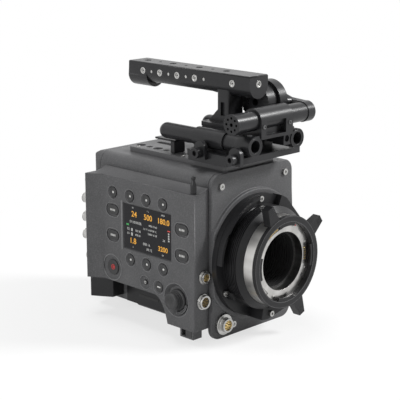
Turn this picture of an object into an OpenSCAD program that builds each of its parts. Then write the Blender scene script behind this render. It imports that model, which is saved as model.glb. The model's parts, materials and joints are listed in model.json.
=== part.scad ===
// Digital cinema camera body with lens mount, carrying handle and viewfinder bracket.
// Millimetres. +X is the operator's side, -Y is the way the lens looks, +Z is up.
// The origin is the centre tripod thread, in the plane that the camera rests on.

/* [Housing] */
// Width of the main housing
body_w = 108; // [104:0.5:114]
// Height of the front plate above the resting plane
body_h = 154; // [150:0.5:162]
// Depth from the front plate's face to the rear face
body_d = 161; // [158:0.5:176]
// Wall of the housing
wall = 3; // [2.5:0.1:3.5]
// Radius of the long corners
corner_r = 11; // [9:0.5:13]
// Radius of the rear corners
rear_r = 8; // [6:0.5:10]
// Thickness of the front plate
plate_t = 5; // [4:0.5:6]
// Thickness of the rear cover
rear_t = 12; // [11:0.5:14]
// Height of the base block under the housing
base_h = 13; // [11:0.5:14]
// Height of the lens axis as a share of the front plate's height
axis_share = 0.47338; // [0.455:0.00001:0.49]
// Distance from the front plate's face back to the centre tripod thread
tripod_y = 62; // [55:0.5:70]

/* [Lens mount] */
// Height of the raised boss
boss_t = 3; // [2:0.5:4]
// Bore of the lens mount
mount_bore_d = 54; // [52:0.1:56]
// Distance from the front plate's face to the lens flange
flange_out = 37; // [35:0.5:40]
// Distance from the front plate's face back to the image plane
sensor_y = 15; // [13:0.5:17]
// Width of the plate's round boss that the adapter's base ring leaves free
adapter_step = 4; // [3:0.5:5]
// Distance of the adapter screws from the edge of its base ring
adapter_screw_in = 4; // [3.6:0.2:4.6]
// Inner radius of the locking ring
lock_in_r = 36.4; // [35:0.2:38]
// Outer radius of the locking ring
lock_out_r = 42.7; // [41:0.2:44]
// Length of the locking ring along the lens axis
lock_l = 10.6; // [9:0.2:12]

/* [Control panel] */
// How far the control panel stands out of the housing
panel_t = 18; // [16:0.5:20]
// Height of the panel's top edge as a share of the plate's height
panel_top_share = 0.9026; // [0.885:0.0001:0.92]
// Height of the panel's lower edge behind the arch as a share of the plate's height
panel_low_share = 0.24026; // [0.225:0.00001:0.25]
// Where the panel's rear part starts to flare outward, as a share of the body's depth
flare_share = 0.77329; // [0.765:0.00001:0.8]
// Where the flared part ends, as a share of the body's depth
flare_end_share = 0.86957; // [0.86:0.00001:0.9]
// Angle of the flared part
flare_a = 32; // [24:1:36]
// Width of the display window as a share of the body's depth
display_w_share = 0.4; // [0.37:0.0001:0.404]
// Height of the display window as a share of the plate's height
display_h_share = 0.28766; // [0.265:0.00001:0.292]
// Diameter of the round function buttons
key_d = 9.6; // [8:0.2:9.6]
// Travel of the buttons
key_travel = 1; // [0.6:0.1:1.2]
// Diameter of the menu dial
dial_d = 20; // [18:0.5:22]
// How far the dial's knob stands out of its dish
dial_l = 11; // [9:0.5:13]

/* [Handle] */
// Width of the handle bar
handle_w = 24; // [22:0.5:26]
// Height of the handle bar
handle_h = 20.9; // [20:0.1:24]
// Height of the handle bar's underside above the cradle's deck
handle_up = 28.3; // [24:0.1:36]
// Length of the handle bar
handle_l = 159; // [158:0.5:165]
// How far the handle bar starts in front of the plate
handle_out = 5.4; // [3:0.2:8]
// Depth of the handle post along the camera
post_d = 14.7; // [13:0.5:17]
// Distance of the post's front face behind the plate
post_y = 22; // [20:0.5:24]

/* [Viewfinder bracket] */
// Spacing of the two rods
rod_pitch = 56; // [55:0.5:60]
// Outer diameter of the rods
rod_d = 15; // [14.5:0.1:15.5]
// Bore of the rods
rod_bore_d = 11; // [10:0.2:12]
// Height of the rods' axes above the top plate
rod_up = 21.3; // [20.8:0.1:22]
// Distance from the plate's face forward to the rods' front ends
rod_out = 27.5; // [24:0.5:30]
// Length of the rods behind the plate's face
rod_tail_l = 90; // [86:0.5:96]
// Outer diameter of the cross tube
tube_d = 17.6; // [17:0.2:18]
// Height of the cross tube above the rods' axes
tube_up = 20.6; // [20.4:0.1:21]
// Distance of the cross tube's axis in front of the plate
tube_out = 17; // [16.5:0.1:17.5]
// Distance from the lens axis to the cross tube's capped end
tube_left = 45.4; // [42:0.5:50]
// Distance from the lens axis to the arm's hub
tube_right = 44.5; // [43.5:0.5:48]
// Radius of the arm's round end
disc_r = 19.5; // [17:0.5:20]

/* [Top and base] */
// Half width of the top accessory plate
top_half_w = 33; // [32:0.5:36]
// Thickness of the top accessory plate
top_t = 5; // [4:0.5:6]
// Distance from the top plate's rear end to the body's rear face
top_rear_gap = 29; // [23:0.5:33]
// Radius of the centre tripod thread
tripod_r = 4.76; // [4.5:0.01:5]
// Radius of the small threads in the top plate and the base
thread_r = 3.18; // [3:0.01:3.3]

/* [Hidden] */
$fn = 64;
// Segments of a shape that is hulled
hull_fn = 32;
// Overrun of a cut past the face that it leaves
eps = 0.5;
// Running clearance of a shaft in its bore, on the radius
run_gap = 0.08;
// Gap between a moving piece and the piece beside it
side_gap = 0.3;

// Heights and depths that follow from the driving sizes
housing_y0 = plate_t;
housing_y1 = body_d - rear_t;
inner_w = body_w - 2 * wall;
floor_z = base_h + wall;
side_x = body_w / 2;
panel_x = side_x + panel_t;
top_z = body_h + top_t;
axis_z = body_h * axis_share;
panel_top = body_h * panel_top_share;
panel_low = body_h * panel_low_share;
flare_y = body_d * flare_share;
flare_end_y = body_d * flare_end_share;
display_w = body_d * display_w_share;
display_h = body_h * display_h_share;
rod_z = top_z + rod_up;
deck_up = 8;
deck_z = rod_z + deck_up;
handle_z = deck_z + handle_up;

// Puts a shape drawn from the front plate's face into the camera's own frame
module place() { translate([0, -tripod_y, 0]) children(); }

// Extrudes an outline in X and Z from y0 to y1
module along_y(y0, y1) {
  translate([0, y1, 0]) rotate([90, 0, 0]) linear_extrude(y1 - y0) children();
}

// Extrudes an outline in Y and Z from x0 to x1
module along_x(x0, x1) {
  translate([x0, 0, 0]) rotate([90, 0, 90]) linear_extrude(x1 - x0) children();
}

// Extrudes an outline in X and Y from z0 to z1
module along_z(z0, z1) { translate([0, 0, z0]) linear_extrude(z1 - z0) children(); }

// A block between two corners
module block(x0, x1, y0, y1, z0, z1) {
  translate([x0, y0, z0]) cube([x1 - x0, y1 - y0, z1 - z0]);
}

// A round bar along X, Y or Z between two places
module bar_x(r, x0, x1, y, z) {
  translate([x0, y, z]) rotate([0, 90, 0]) cylinder(r = r, h = x1 - x0);
}
module bar_y(r, y0, y1, x, z) {
  translate([x, y1, z]) rotate([90, 0, 0]) cylinder(r = r, h = y1 - y0);
}
module bar_z(r, z0, z1, x, y) { translate([x, y, z0]) cylinder(r = r, h = z1 - z0); }

// A cone along X between two places
module cone_x(r0, r1, x0, x1, y, z) {
  translate([x0, y, z]) rotate([0, 90, 0]) cylinder(r1 = r0, r2 = r1, h = x1 - x0);
}

// A rectangle with round corners about its centre
module rounded_rect(w, h, r) {
  square([w - 2 * r, h], center = true);
  square([w, h - 2 * r], center = true);
  for (sx = [-1, 1], sy = [-1, 1])
    translate([sx * (w / 2 - r), sy * (h / 2 - r)]) circle(r = r);
}

// A rectangle with round corners from its lowest corner
module rounded_from(x0, x1, y0, y1, r) {
  translate([(x0 + x1) / 2, (y0 + y1) / 2]) rounded_rect(x1 - x0, y1 - y0, r);
}

// A slot with round ends along its width
module slot_shape(w, h) {
  square([w - h, h], center = true);
  for (s = [-1, 1]) translate([s * (w - h) / 2, 0]) circle(r = h / 2);
}

// Stands a shape on the lens axis, its own Z pointing to the subject, z before the plate
module on_axis(out) { translate([0, -out, axis_z]) rotate([90, 0, 0]) children(); }

// A plain ring
module ring(r_in, r_out, h) {
  difference() {
    cylinder(r = r_out, h = h);
    translate([0, 0, -eps]) cylinder(r = r_in, h = h + 2 * eps);
  }
}

// A sector of a ring between two angles less than half a turn apart
module ring_sector(r_in, r_out, h, a0, a1) {
  reach = 2 * r_out;
  intersection() {
    ring(r_in, r_out, h);
    linear_extrude(h) polygon([[0, 0],
      [reach * cos(a0), reach * sin(a0)],
      [reach * cos((a0 + a1) / 2), reach * sin((a0 + a1) / 2)],
      [reach * cos(a1), reach * sin(a1)]]);
  }
}

// A cap screw with a hexagon socket, head up, from z = 0
socket_share = 0.52;
module cap_screw(head_r, head_h, shank_r, shank_l) {
  difference() {
    cylinder(r = head_r, h = head_h);
    translate([0, 0, head_h / 2]) cylinder(r = head_r * socket_share, h = head_h, $fn = 6);
  }
  translate([0, 0, -shank_l]) cylinder(r = shank_r, h = shank_l);
}

// Sizes of the front plate
throat_hole_r = 33;
plate_screw_side_gap = 11.5;
plate_screw_top_gap = 11.3;
plate_screw_low_gap = 27.9;
plate_screw_low_z = 10.6;
plate_screw_places = [for (s = [-1, 1], top = [true, false])
  top ? [s * (side_x - plate_screw_side_gap), body_h - plate_screw_top_gap]
    : [s * (side_x - plate_screw_low_gap), plate_screw_low_z]];
plate_screw_head_r = 3;
plate_screw_head_h = 2;
plate_screw_shank_r = 1.5;
plate_screw_shank_l = 3.5;
vf_plug_side_gap = 15;
vf_plug_x = vf_plug_side_gap - side_x;
vf_plug_z = 13.7;
vf_plug_r = 9.8;
vf_plug_body_r = 6.5;
vf_plug_out = 7;
vf_plug_in = 4;
wheel_pin_r = 3;
// The boss leaves room for the viewfinder socket, and the adapter stands on the boss
boss_gap = 0.09;
boss_r = norm([vf_plug_x, axis_z - vf_plug_z]) - vf_plug_r - boss_gap;
adapter_r = boss_r - adapter_step;
adapter_screw_r = adapter_r - adapter_screw_in;

// The outline that the housing, the plate and the covers share, from height z0 up
module body_outline(z0) {
  intersection() {
    translate([0, body_h / 2]) rounded_rect(body_w, body_h, corner_r);
    translate([-body_w, z0]) square([2 * body_w, body_h]);
  }
}

// The housing's inner outline
module inner_outline() {
  rounded_from(-inner_w / 2, inner_w / 2, floor_z, body_h - wall, corner_r - wall);
}

// Cooling slots of the housing's operator side, under the cover
vent_count = 6;
vent_w = 4;
vent_l = 46;
vent_pitch = 9;
vent_y_share = 0.50932;
vent_y = body_d * vent_y_share;
vent_z = 52;

module main_housing() {
  color("dimgray") place() difference() {
    along_y(housing_y0, housing_y1) body_outline(base_h);
    along_y(housing_y0 - eps, housing_y1 + eps) inner_outline();
    for (i = [0 : vent_count - 1])
      block(side_x - wall - eps, side_x + eps,
         vent_y, vent_y + vent_l,
         vent_z + i * vent_pitch, vent_z + i * vent_pitch + vent_w);
  }
}

module front_plate() {
  color("dimgray") place() difference() {
    union() {
      along_y(0, plate_t) translate([0, body_h / 2])
        rounded_rect(body_w, body_h, corner_r);
      along_y(-boss_t, 0) intersection() {
        translate([0, axis_z]) circle(r = boss_r, $fn = 128);
        translate([0, body_h / 2]) rounded_rect(body_w, body_h, corner_r);
      }
      bar_y(wheel_pin_r, plate_t, wheel_y1 + wheel_pin_over, 0, wheel_z);
      bar_y(wheel_pin_r * 2, plate_t, wheel_y0, 0, wheel_z);
    }
    bar_y(throat_hole_r, -boss_t - eps, plate_t + eps, 0, axis_z);
    for (p = plate_screw_places)
      bar_y(plate_screw_shank_r, -eps, plate_screw_shank_l,
         p[0], p[1]);
    bar_y(vf_plug_body_r, -eps, vf_plug_in, vf_plug_x, vf_plug_z);
    for (i = [0 : adapter_screw_count - 1])
      on_axis(-adapter_screw_depth) rotate([0, 0, adapter_screw_turn + i * adapter_screw_step])
        translate([adapter_screw_r, 0, 0])
          cylinder(r = adapter_shank_r, h = adapter_screw_depth + boss_t + eps);
  }
}

// The rear cover is the housing's outline with its rear edges rounded
battery_w = 80;
battery_h_share = 0.62338;
battery_h = body_h * battery_h_share;
battery_out = 14;
battery_z_share = 0.4026;
battery_z = body_h * battery_z_share;
battery_r = 5;
wedge_top_w = 42;
wedge_low_w = 30;
wedge_h = 46;
wedge_depth = 7;

module rear_cover() {
  color("dimgray") place() difference() {
    union() {
      intersection() {
        along_y(housing_y1, body_d) body_outline(base_h);
        along_z(base_h, body_h)
          rounded_from(-side_x, side_x, 0, body_d, rear_r);
        along_x(-side_x, side_x)
          rounded_from(0, body_d, 0, body_h, rear_r);
      }
      along_y(body_d - wedge_depth, body_d + battery_out)
        rounded_from(-battery_w / 2, battery_w / 2,
              battery_z - battery_h / 2, battery_z + battery_h / 2, battery_r);
    }
    // The wedge slot that a battery slides down into
    translate([0, body_d + battery_out + eps, battery_z])
      rotate([90, 0, 0]) linear_extrude(wedge_depth + eps)
        polygon([[-wedge_low_w / 2, -wedge_h / 2], [wedge_low_w / 2, -wedge_h / 2],
            [wedge_top_w / 2, battery_h], [-wedge_top_w / 2, battery_h]]);
    for (p = rear_plug_places)
      bar_y(rear_plug_body_r, body_d - rear_plug_in, body_d + eps,
         p[0] * side_x, p[1] * body_h);
  }
}

// Power and network sockets above the battery plate
rear_plug_places = [[-0.62, 0.84], [-0.21, 0.84], [0.21, 0.84], [0.62, 0.84]];
rear_plug_r = 8;
rear_plug_body_r = 6;
rear_plug_in = 4;
rear_plug_out = 5;

module rear_connectors() {
  color("silver") place() for (p = rear_plug_places)
    round_plug_y(body_d, 1, p[0] * side_x, p[1] * body_h,
          rear_plug_r, rear_plug_body_r, rear_plug_in, rear_plug_out);
}

// A round panel socket along Y, its mouth at out beyond the face
plug_bore_share = 0.72;
plug_floor_share = 0.5;
plug_pin_share = 0.22;
plug_step_share = 0.35;
module round_plug_y(face_y, way, x, z, flange_r, body_r, inside, out) {
  translate([x, face_y, z]) rotate([way > 0 ? -90 : 90, 0, 0])
    round_plug(flange_r, body_r, inside, out);
}
module round_plug(flange_r, body_r, inside, out) {
  difference() {
    union() {
      translate([0, 0, -inside]) cylinder(r = body_r, h = inside + out);
      cylinder(r = flange_r, h = out * plug_step_share);
    }
    translate([0, 0, out * plug_floor_share - inside])
      cylinder(r = body_r * plug_bore_share, h = inside + out);
  }
  translate([0, 0, -inside])
    cylinder(r = body_r * plug_pin_share, h = inside + out * plug_bore_share);
}

// Sizes of the base block
base_half_low = 31;
base_half_top = 40;
base_y0 = 5;
base_rear_gap = 32;
base_y1 = body_d - base_rear_gap;
base_rear_slope = 6;
thread_depth = 11;
side_thread_pitch = 36;

module base_plate() {
  color([0.12, 0.12, 0.13]) place() difference() {
    intersection() {
      along_y(base_y0, base_y1)
        polygon([[-base_half_low, 0], [base_half_low, 0],
            [base_half_top, base_h], [-base_half_top, base_h]]);
      along_x(-body_w, body_w)
        polygon([[0, -eps], [base_y1 - base_rear_slope, -eps],
            [base_y1 - base_rear_slope, 0], [base_y1, base_h],
            [base_y1, base_h + eps], [0, base_h + eps]]);
    }
    bar_z(tripod_r, -eps, thread_depth, 0, tripod_y);
    for (s = [-1, 1])
      bar_z(thread_r, -eps, thread_depth, 0, tripod_y + s * side_thread_pitch / 2);
  }
}

// Sizes of the top plate
top_y0 = 3;
top_l = body_d - top_rear_gap - top_y0;
top_r = 4;
top_row_x = 21.5;
top_hole_pitch = 11.75;
top_hole_rear_gap = 5.7;
top_hole_count = 6;
top_big_r = 4.76;
slot_w = 34;
slot_h = 7;
slot_rear_gap = 6;

module top_plate() {
  hole_y = top_y0 + top_l - top_hole_rear_gap;
  color([0.25, 0.25, 0.26]) place() difference() {
    along_z(body_h, top_z)
      rounded_from(-top_half_w, top_half_w, top_y0, top_y0 + top_l, top_r);
    for (side = [-1, 0, 1], i = [0 : top_hole_count - 1])
      if (side != 0 || i > 3)
        bar_z(i % 2 == 0 ? top_big_r : thread_r, body_h - eps, top_z + eps,
           side * top_row_x, hole_y - i * top_hole_pitch);
    along_z(top_z - top_t / 2, top_z + eps)
      translate([0, top_y0 + top_l - slot_rear_gap - slot_w / 2]) rotate(90)
        slot_shape(slot_w, slot_h);
  }
}

// The control panel's outline seen from its side, in Y and Z
panel_y0 = 3.9;
panel_front_low_share = 0.08117;
panel_front_low = body_h * panel_front_low_share;
arch_y0_share = 0.23975;
arch_y0 = body_d * arch_y0_share;
arch_y1_share = 0.34783;
arch_y1 = body_d * arch_y1_share;
panel_wall = 3;
shoulder_w = 15;
arch_steps = 8;
round_share = 0.5;
function arch_points() = [for (i = [0 : arch_steps])
  let (a = 90 * i / arch_steps)
  [arch_y0 + (arch_y1 - arch_y0) * (round_share * (1 - cos(a))
                   + (1 - round_share) * i / arch_steps),
  panel_front_low + (panel_low - panel_front_low) * sin(a)]];

module panel_side_outline() {
  polygon(concat([[body_d, panel_low], [body_d, body_h], [0, body_h], [0, panel_front_low]],
         arch_points()));
}

flare_x = panel_x + (flare_end_y - flare_y) * tan(flare_a);

// The panel seen from above, in X and Y, drawn in by a margin
module panel_top_outline(m) {
  polygon([[-side_x, panel_y0 + m], [-panel_x + m, panel_y0 + m],
      [-panel_x + m, flare_y - m * tan(flare_a / 2)],
      [-flare_x + m * cos(flare_a), flare_end_y - m],
      [-side_x, flare_end_y - m]]);
}

// The panel seen from the front, with the shoulder that runs up to the housing's side
module panel_end_outline() {
  rise = body_h - corner_r - panel_top;
  r = (pow(shoulder_w, 2) + pow(rise, 2)) / (2 * rise);
  translate([-flare_x - eps, 0]) square([flare_x, panel_top]);
  difference() {
    translate([-side_x - shoulder_w, 0]) square([side_x, panel_top + rise]);
    translate([-side_x - shoulder_w, panel_top + r]) circle(r = r, $fn = 180);
  }
}

// Places on the panel as shares of the body's depth and of the plate's height
key_rear_share = 0.54596;
key_pitch_share = 0.13665;
key_top_share = 0.80325;
key_low_share = 0.40844;
nd_key_share = 0.6913;
pill_rear_share = 0.69317;
pill_front_share = 0.1205;
pill_rear_z_shares = [0.69286, 0.53377];
pill_front_z_shares = [0.68117, 0.52597];
record_share = 0.70373;
help_y_share = 0.31118;
help_z_share = 0.29091;
lock_y_share = 0.42422;
lock_z_share = 0.29481;
dial_y_share = 0.1677;
dial_z_share = 0.24675;
display_y_share = 0.40435;
display_z_share = 0.61494;
key_rear_y = body_d * key_rear_share;
key_pitch_y = body_d * key_pitch_share;
key_top_z = body_h * key_top_share;
key_low_z = body_h * key_low_share;
nd_key_y = body_d * nd_key_share;
pill_rear_y = body_d * pill_rear_share;
pill_front_y = body_d * pill_front_share;
pill_rear_z = body_h * pill_rear_z_shares;
pill_front_z = body_h * pill_front_z_shares;
pill_w = 15;
pill_h = 9.6;
record_y = body_d * record_share;
record_up = 13.3;
record_z = panel_low + record_up;
record_r = 7.5;
record_ring_r = 13;
help_y = body_d * help_y_share;
help_z = body_h * help_z_share;
help_r = 5;
lock_y = body_d * lock_y_share;
lock_z = body_h * lock_z_share;
lock_r = 2.5;
dial_y = body_d * dial_y_share;
dial_z = body_h * dial_z_share;
dial_dish_r = 15.5;
dial_dish_d = 3;
display_y = body_d * display_y_share;
display_z = body_h * display_z_share;
key_dish_r = 6.6;
key_dish_d = 1.3;
key_proud = 0.6;
key_flange = 1;
key_flange_t = 1;
dish_share = 0.8;

// A conical dish in the panel's face with a hole through the wall
module dish_cut(y, z, dish_r, dish_d, hole_r) {
  cone_x(dish_r * (1 + eps * (1 - dish_share) / dish_d), dish_r * dish_share,
     -panel_x - eps, -panel_x + dish_d, y, z);
  bar_x(hole_r, -panel_x - eps, -panel_x + panel_wall + eps, y, z);
  // Room behind the wall for the key's flange and its travel
  bar_x(hole_r + key_flange + side_gap, -panel_x + panel_wall,
     -panel_x + panel_wall + key_flange_t + key_travel + side_gap, y, z);
}

// A pill-shaped recess in the panel's face with a hole through the wall
pill_rim = 1.6;
recess_share = 0.8;
pill_rim_d = key_travel * recess_share;
module pill_cut(y, z) {
  translate([0, y, z]) {
    along_x(-panel_x - eps, -panel_x + pill_rim_d)
      slot_shape(pill_w + 2 * pill_rim, pill_h + 2 * pill_rim);
    along_x(-panel_x - eps, -panel_x + panel_wall + eps)
      slot_shape(pill_w + 2 * run_gap, pill_h + 2 * run_gap);
  }
}

key_y = [key_rear_y, key_rear_y - key_pitch_y, key_rear_y - 2 * key_pitch_y];
lens_plug_side = 7.6;
lens_plug_x = -side_x - lens_plug_side;
lens_plug_share = 0.25714;
lens_plug_z = body_h * lens_plug_share;
lens_plug_r = 7.4;
lens_plug_body_r = 6.2;
power_out_side = 6.4;
power_out_x = -side_x - power_out_side;
power_out_share = 0.40455;
power_out_z = body_h * power_out_share;
power_out_r = 6.35;
power_out_body_r = 5;
front_plug_in = 3.6;
front_plug_out = 4;
hook_y = 9;
hook_side = 14;
hook_x = -side_x - hook_side;
hook_foot_r = 1.5;
hook_foot_d = 2.5;
bnc_shares = [0.84545, 0.72403, 0.6039, 0.49156, 0.36234];
bnc_places = body_h * bnc_shares;
bnc_side = 16.5;
bnc_x = -side_x - bnc_side;
bnc_body_r = 5;
bnc_in = 3.6;

module right_side_panel() {
  color([0.33, 0.33, 0.34]) place() difference() {
    union() {
      intersection() {
        along_z(0, body_h) panel_top_outline(0);
        along_x(-flare_x - eps, eps - side_x) panel_side_outline();
        along_y(0, body_d) panel_end_outline();
      }
      switch_guard();
    }
    // The hollow behind the panel's wall, open to the housing
    difference() {
      intersection() {
        along_z(0, body_h) panel_top_outline(panel_wall);
        along_x(-flare_x, -side_x + eps) {
          translate([panel_y0 + panel_wall, panel_low + panel_wall])
            square([flare_end_y - panel_y0 - 2 * panel_wall,
                panel_top - panel_low - 2 * panel_wall]);
          translate([panel_y0 + panel_wall, panel_front_low + panel_wall])
            square([arch_y0 - panel_y0 - 2 * panel_wall, panel_low - panel_front_low]);
        }
      }
      bar_x(dial_dish_r + panel_wall, -panel_x, -panel_x + dial_dish_d + panel_wall,
         dial_y, dial_z);
    }
    for (y = key_y, z = [key_top_z, key_low_z])
      dish_cut(y, z, key_dish_r, key_dish_d, key_d / 2 + run_gap);
    dish_cut(nd_key_y, key_top_z, key_dish_r, key_dish_d, key_d / 2 + run_gap);
    for (z = pill_rear_z) pill_cut(pill_rear_y, z);
    for (z = pill_front_z) pill_cut(pill_front_y, z);
    dish_cut(record_y, record_z, record_ring_r, key_dish_d, record_r + run_gap);
    dish_cut(help_y, help_z, help_r + pill_rim, pill_rim_d, help_r + run_gap);
    dish_cut(lock_y, lock_z, key_dish_r, key_dish_d, lock_r + run_gap);
    // The dial's dish and the bore of its shaft
    cone_x(dial_dish_r + eps / 2, dial_dish_r * dish_share, -panel_x - eps,
       -panel_x + dial_dish_d, dial_y, dial_z);
    bar_x(dial_shaft_r + run_gap, -panel_x, -panel_x + dial_dish_d + panel_wall + eps,
       dial_y, dial_z);
    // The display's window
    along_x(-panel_x - eps, -panel_x + panel_wall + eps)
      translate([display_y, display_z]) square([display_w, display_h], center = true);
    // Seats of the sockets in the front strip and the rear edge
    bar_y(lens_plug_body_r, panel_y0 - eps, panel_y0 + front_plug_in, lens_plug_x, lens_plug_z);
    bar_y(power_out_body_r, panel_y0 - eps, panel_y0 + front_plug_in,
       power_out_x, power_out_z);
    for (z = bnc_places)
      bar_y(bnc_body_r, flare_end_y - bnc_in, flare_end_y + eps, bnc_x, z);
    bar_z(hook_foot_r, panel_top - hook_foot_d, body_h, hook_x, hook_y);
    bar_z(hook_base_r + run_gap, panel_top, body_h, hook_x, hook_y);
  }
}

// The small box under the flare, which carries the remote socket
box_l = 19;
box_rear_gap = 3;
box_y1 = flare_end_y - box_rear_gap;
box_y0 = box_y1 - box_l;
box_low_share = 0.11688;
box_low = body_h * box_low_share;
module connector_box() {
  slope = tan(flare_a);
  color([0.12, 0.12, 0.13]) place() difference() {
    along_z(box_low, panel_low)
      polygon([[-side_x, box_y0], [-panel_x - (box_y0 - flare_y) * slope, box_y0],
          [-panel_x - (box_y1 - flare_y) * slope, box_y1], [-side_x, box_y1]]);
    bar_y(remote_body_r, box_y1 - bnc_in, box_y1 + eps, remote_x, remote_z);
  }
}

remote_x = bnc_x;
remote_share = 0.18506;
remote_z = body_h * remote_share;
remote_r = 6;
remote_body_r = 4.6;
remote_out = 5;
aux_out = 8;
aux_r = 8;
bnc_out = 12;
bnc_r = 6.6;
small_out = 7;

module bnc_connectors() {
  color("silver") place() for (i = [1 : 3])
    round_plug_y(flare_end_y, 1, bnc_x, bnc_places[i], bnc_r, bnc_body_r, bnc_in, bnc_out);
}

module side_connectors() {
  color("silver") place() {
    round_plug_y(flare_end_y, 1, bnc_x, bnc_places[0], bnc_r, bnc_body_r, bnc_in, small_out);
    round_plug_y(flare_end_y, 1, bnc_x, bnc_places[4], aux_r, bnc_body_r, bnc_in, aux_out);
    round_plug_y(box_y1, 1, remote_x, remote_z, remote_r, remote_body_r, bnc_in, remote_out);
  }
}

module front_connectors() {
  color("silver") place() {
    round_plug_y(panel_y0, -1, power_out_x, power_out_z,
          power_out_r, power_out_body_r, front_plug_in, front_plug_out);
    round_plug_y(panel_y0, -1, lens_plug_x, lens_plug_z,
          lens_plug_r, lens_plug_body_r, front_plug_in, front_plug_out);
  }
}

module viewfinder_connector() {
  color("silver") place()
    round_plug_y(0, -1, vf_plug_x, vf_plug_z, vf_plug_r, vf_plug_body_r,
          vf_plug_in, vf_plug_out);
}

module plate_screws() {
  color("silver") place() for (p = plate_screw_places)
    translate([p[0], 0, p[1]]) rotate([90, 0, 0])
      cap_screw(plate_screw_head_r, plate_screw_head_h,
           plate_screw_shank_r, plate_screw_shank_l);
}

// The operator's side cover with the card bay
cover_t = 8;
cover_y0 = 8;
cover_end_share = 0.90683;
cover_y1 = body_d * cover_end_share;
cover_z0 = 24;
cover_drop = 18;
cover_z1 = body_h - cover_drop;
cover_r = 8;
bay_start_share = 0.48447;
bay_y0 = body_d * bay_start_share;
bay_end_share = 0.81988;
bay_y1 = body_d * bay_end_share;
bay_z0 = 34;
bay_top_share = 0.72727;
bay_z1 = body_h * bay_top_share;
bay_floor = 5;
door_gap = 0.4;
door_t = 3;
door_pin_r = 1.1;
grip_w = 22;
grip_h = 5;
grip_d = 1.4;
intake_count = 7;
intake_w = 3;
intake_pitch = 8;
intake_y0 = 18;
intake_l = 44;
intake_z = 38;

module left_side_cover() {
  color([0.33, 0.33, 0.34]) place() difference() {
    along_x(side_x, side_x + cover_t) rounded_from(cover_y0, cover_y1, cover_z0, cover_z1, cover_r);
    // The card bay, open outward
    block(side_x + cover_t - bay_floor, side_x + cover_t + eps, bay_y0, bay_y1, bay_z0, bay_z1);
    // Air slots into the housing
    for (i = [0 : intake_count - 1])
      block(side_x - eps, side_x + cover_t + eps,
         intake_y0, intake_y0 + intake_l,
         intake_z + i * intake_pitch, intake_z + i * intake_pitch + intake_w);
    // Bores of the door's hinge pin
    bar_z(door_pin_r + run_gap, bay_z0 - door_pin_l, bay_z1 + door_pin_l,
       side_x + cover_t - door_t / 2, bay_y1 - door_gap - door_t / 2);
  }
}

// The card bay's door turns about its rear edge
door_pin_l = 4;
module media_door() {
  x0 = side_x + cover_t - door_t;
  x1 = side_x + cover_t;
  y_pin = bay_y1 - door_gap - door_t / 2;
  color([0.3, 0.3, 0.31]) place() difference() {
    union() {
      block(x0, x1, bay_y0 + door_gap, y_pin, bay_z0 + door_gap, bay_z1 - door_gap);
      bar_z(door_t / 2, bay_z0 + door_gap, bay_z1 - door_gap, (x0 + x1) / 2, y_pin);
      bar_z(door_pin_r, bay_z0 - door_pin_l + door_gap, bay_z1 + door_pin_l - door_gap,
         (x0 + x1) / 2, y_pin);
    }
    // A finger recess at the front edge
    block(x1 - grip_d, x1 + eps, bay_y0 - eps, bay_y0 + door_gap + grip_h,
       (bay_z0 + bay_z1) / 2 - grip_w / 2, (bay_z0 + bay_z1) / 2 + grip_w / 2);
  }
}

// The display sits in the panel's window, flush with its face
display_t = 6;
key_room = 0.1;
display_rim = key_top_z - display_z - display_h / 2 - key_d / 2 - key_flange - key_room;
glass_t = 1;
glass_sunk = 0.4;
module display_module() {
  color([0.08, 0.08, 0.09]) place() translate([0, display_y, display_z]) difference() {
    union() {
      along_x(-panel_x + glass_sunk, -panel_x + panel_wall)
        square([display_w, display_h], center = true);
      along_x(-panel_x + panel_wall, -panel_x + panel_wall + display_t)
        square([display_w + 2 * display_rim, display_h + 2 * display_rim], center = true);
    }
    along_x(-panel_x - eps, -panel_x + glass_sunk + glass_t)
      square([display_w - 2 * display_rim, display_h - 2 * display_rim], center = true);
  }
}

module display_glass() {
  color([0.1, 0.1, 0.12]) place() translate([0, display_y, display_z])
    along_x(-panel_x + glass_sunk, -panel_x + glass_sunk + glass_t)
      square([display_w - 2 * display_rim, display_h - 2 * display_rim], center = true);
}

// Sizes of the lens adapter, counted forward from the front plate's face
adapter_base_h = 5.5;
adapter_rim_h = 6;
adapter_rim_w = 3;
barrel_step = 9;
barrel_r = adapter_r - barrel_step;
barrel_h = 14;
barrel_front_r = 42.5;
barrel_cone_h = 5;
adapter_bore_r = 33;
adapter_screw_count = 6;
adapter_screw_step = 60;
adapter_screw_turn = 30;
adapter_screw_depth = 3;
adapter_shank_r = 1.6;
adapter_head_r = 2.7;
adapter_head_h = 2.6;
groove_count = 7;
groove_pitch = 2;
groove_w = 0.9;
groove_d = 0.8;
lobe_over = 1;
lobe_out_r = adapter_r + lobe_over;
lobe_angles = [42, -78];
lobe_heights = [11, 20];
lobe_sweep = 24;
rim_angles = [96, 178];
groove_angles = [92, 222];
seat_d = 0.3;
step_w = 0.4;
lobe_flat = 1.2;
// The height that each screw's head stands at: two stand on a lobe
function screw_seat(i) = (i == 0 ? lobe_heights[0] : i == 4 ? lobe_heights[1] : adapter_base_h)
            - seat_d;
notch_w = 9;
notch_h = 7;
notch_angle = 215;
adapter_h = adapter_base_h + barrel_h + barrel_cone_h;
adapter_front = boss_t + adapter_h;

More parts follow.
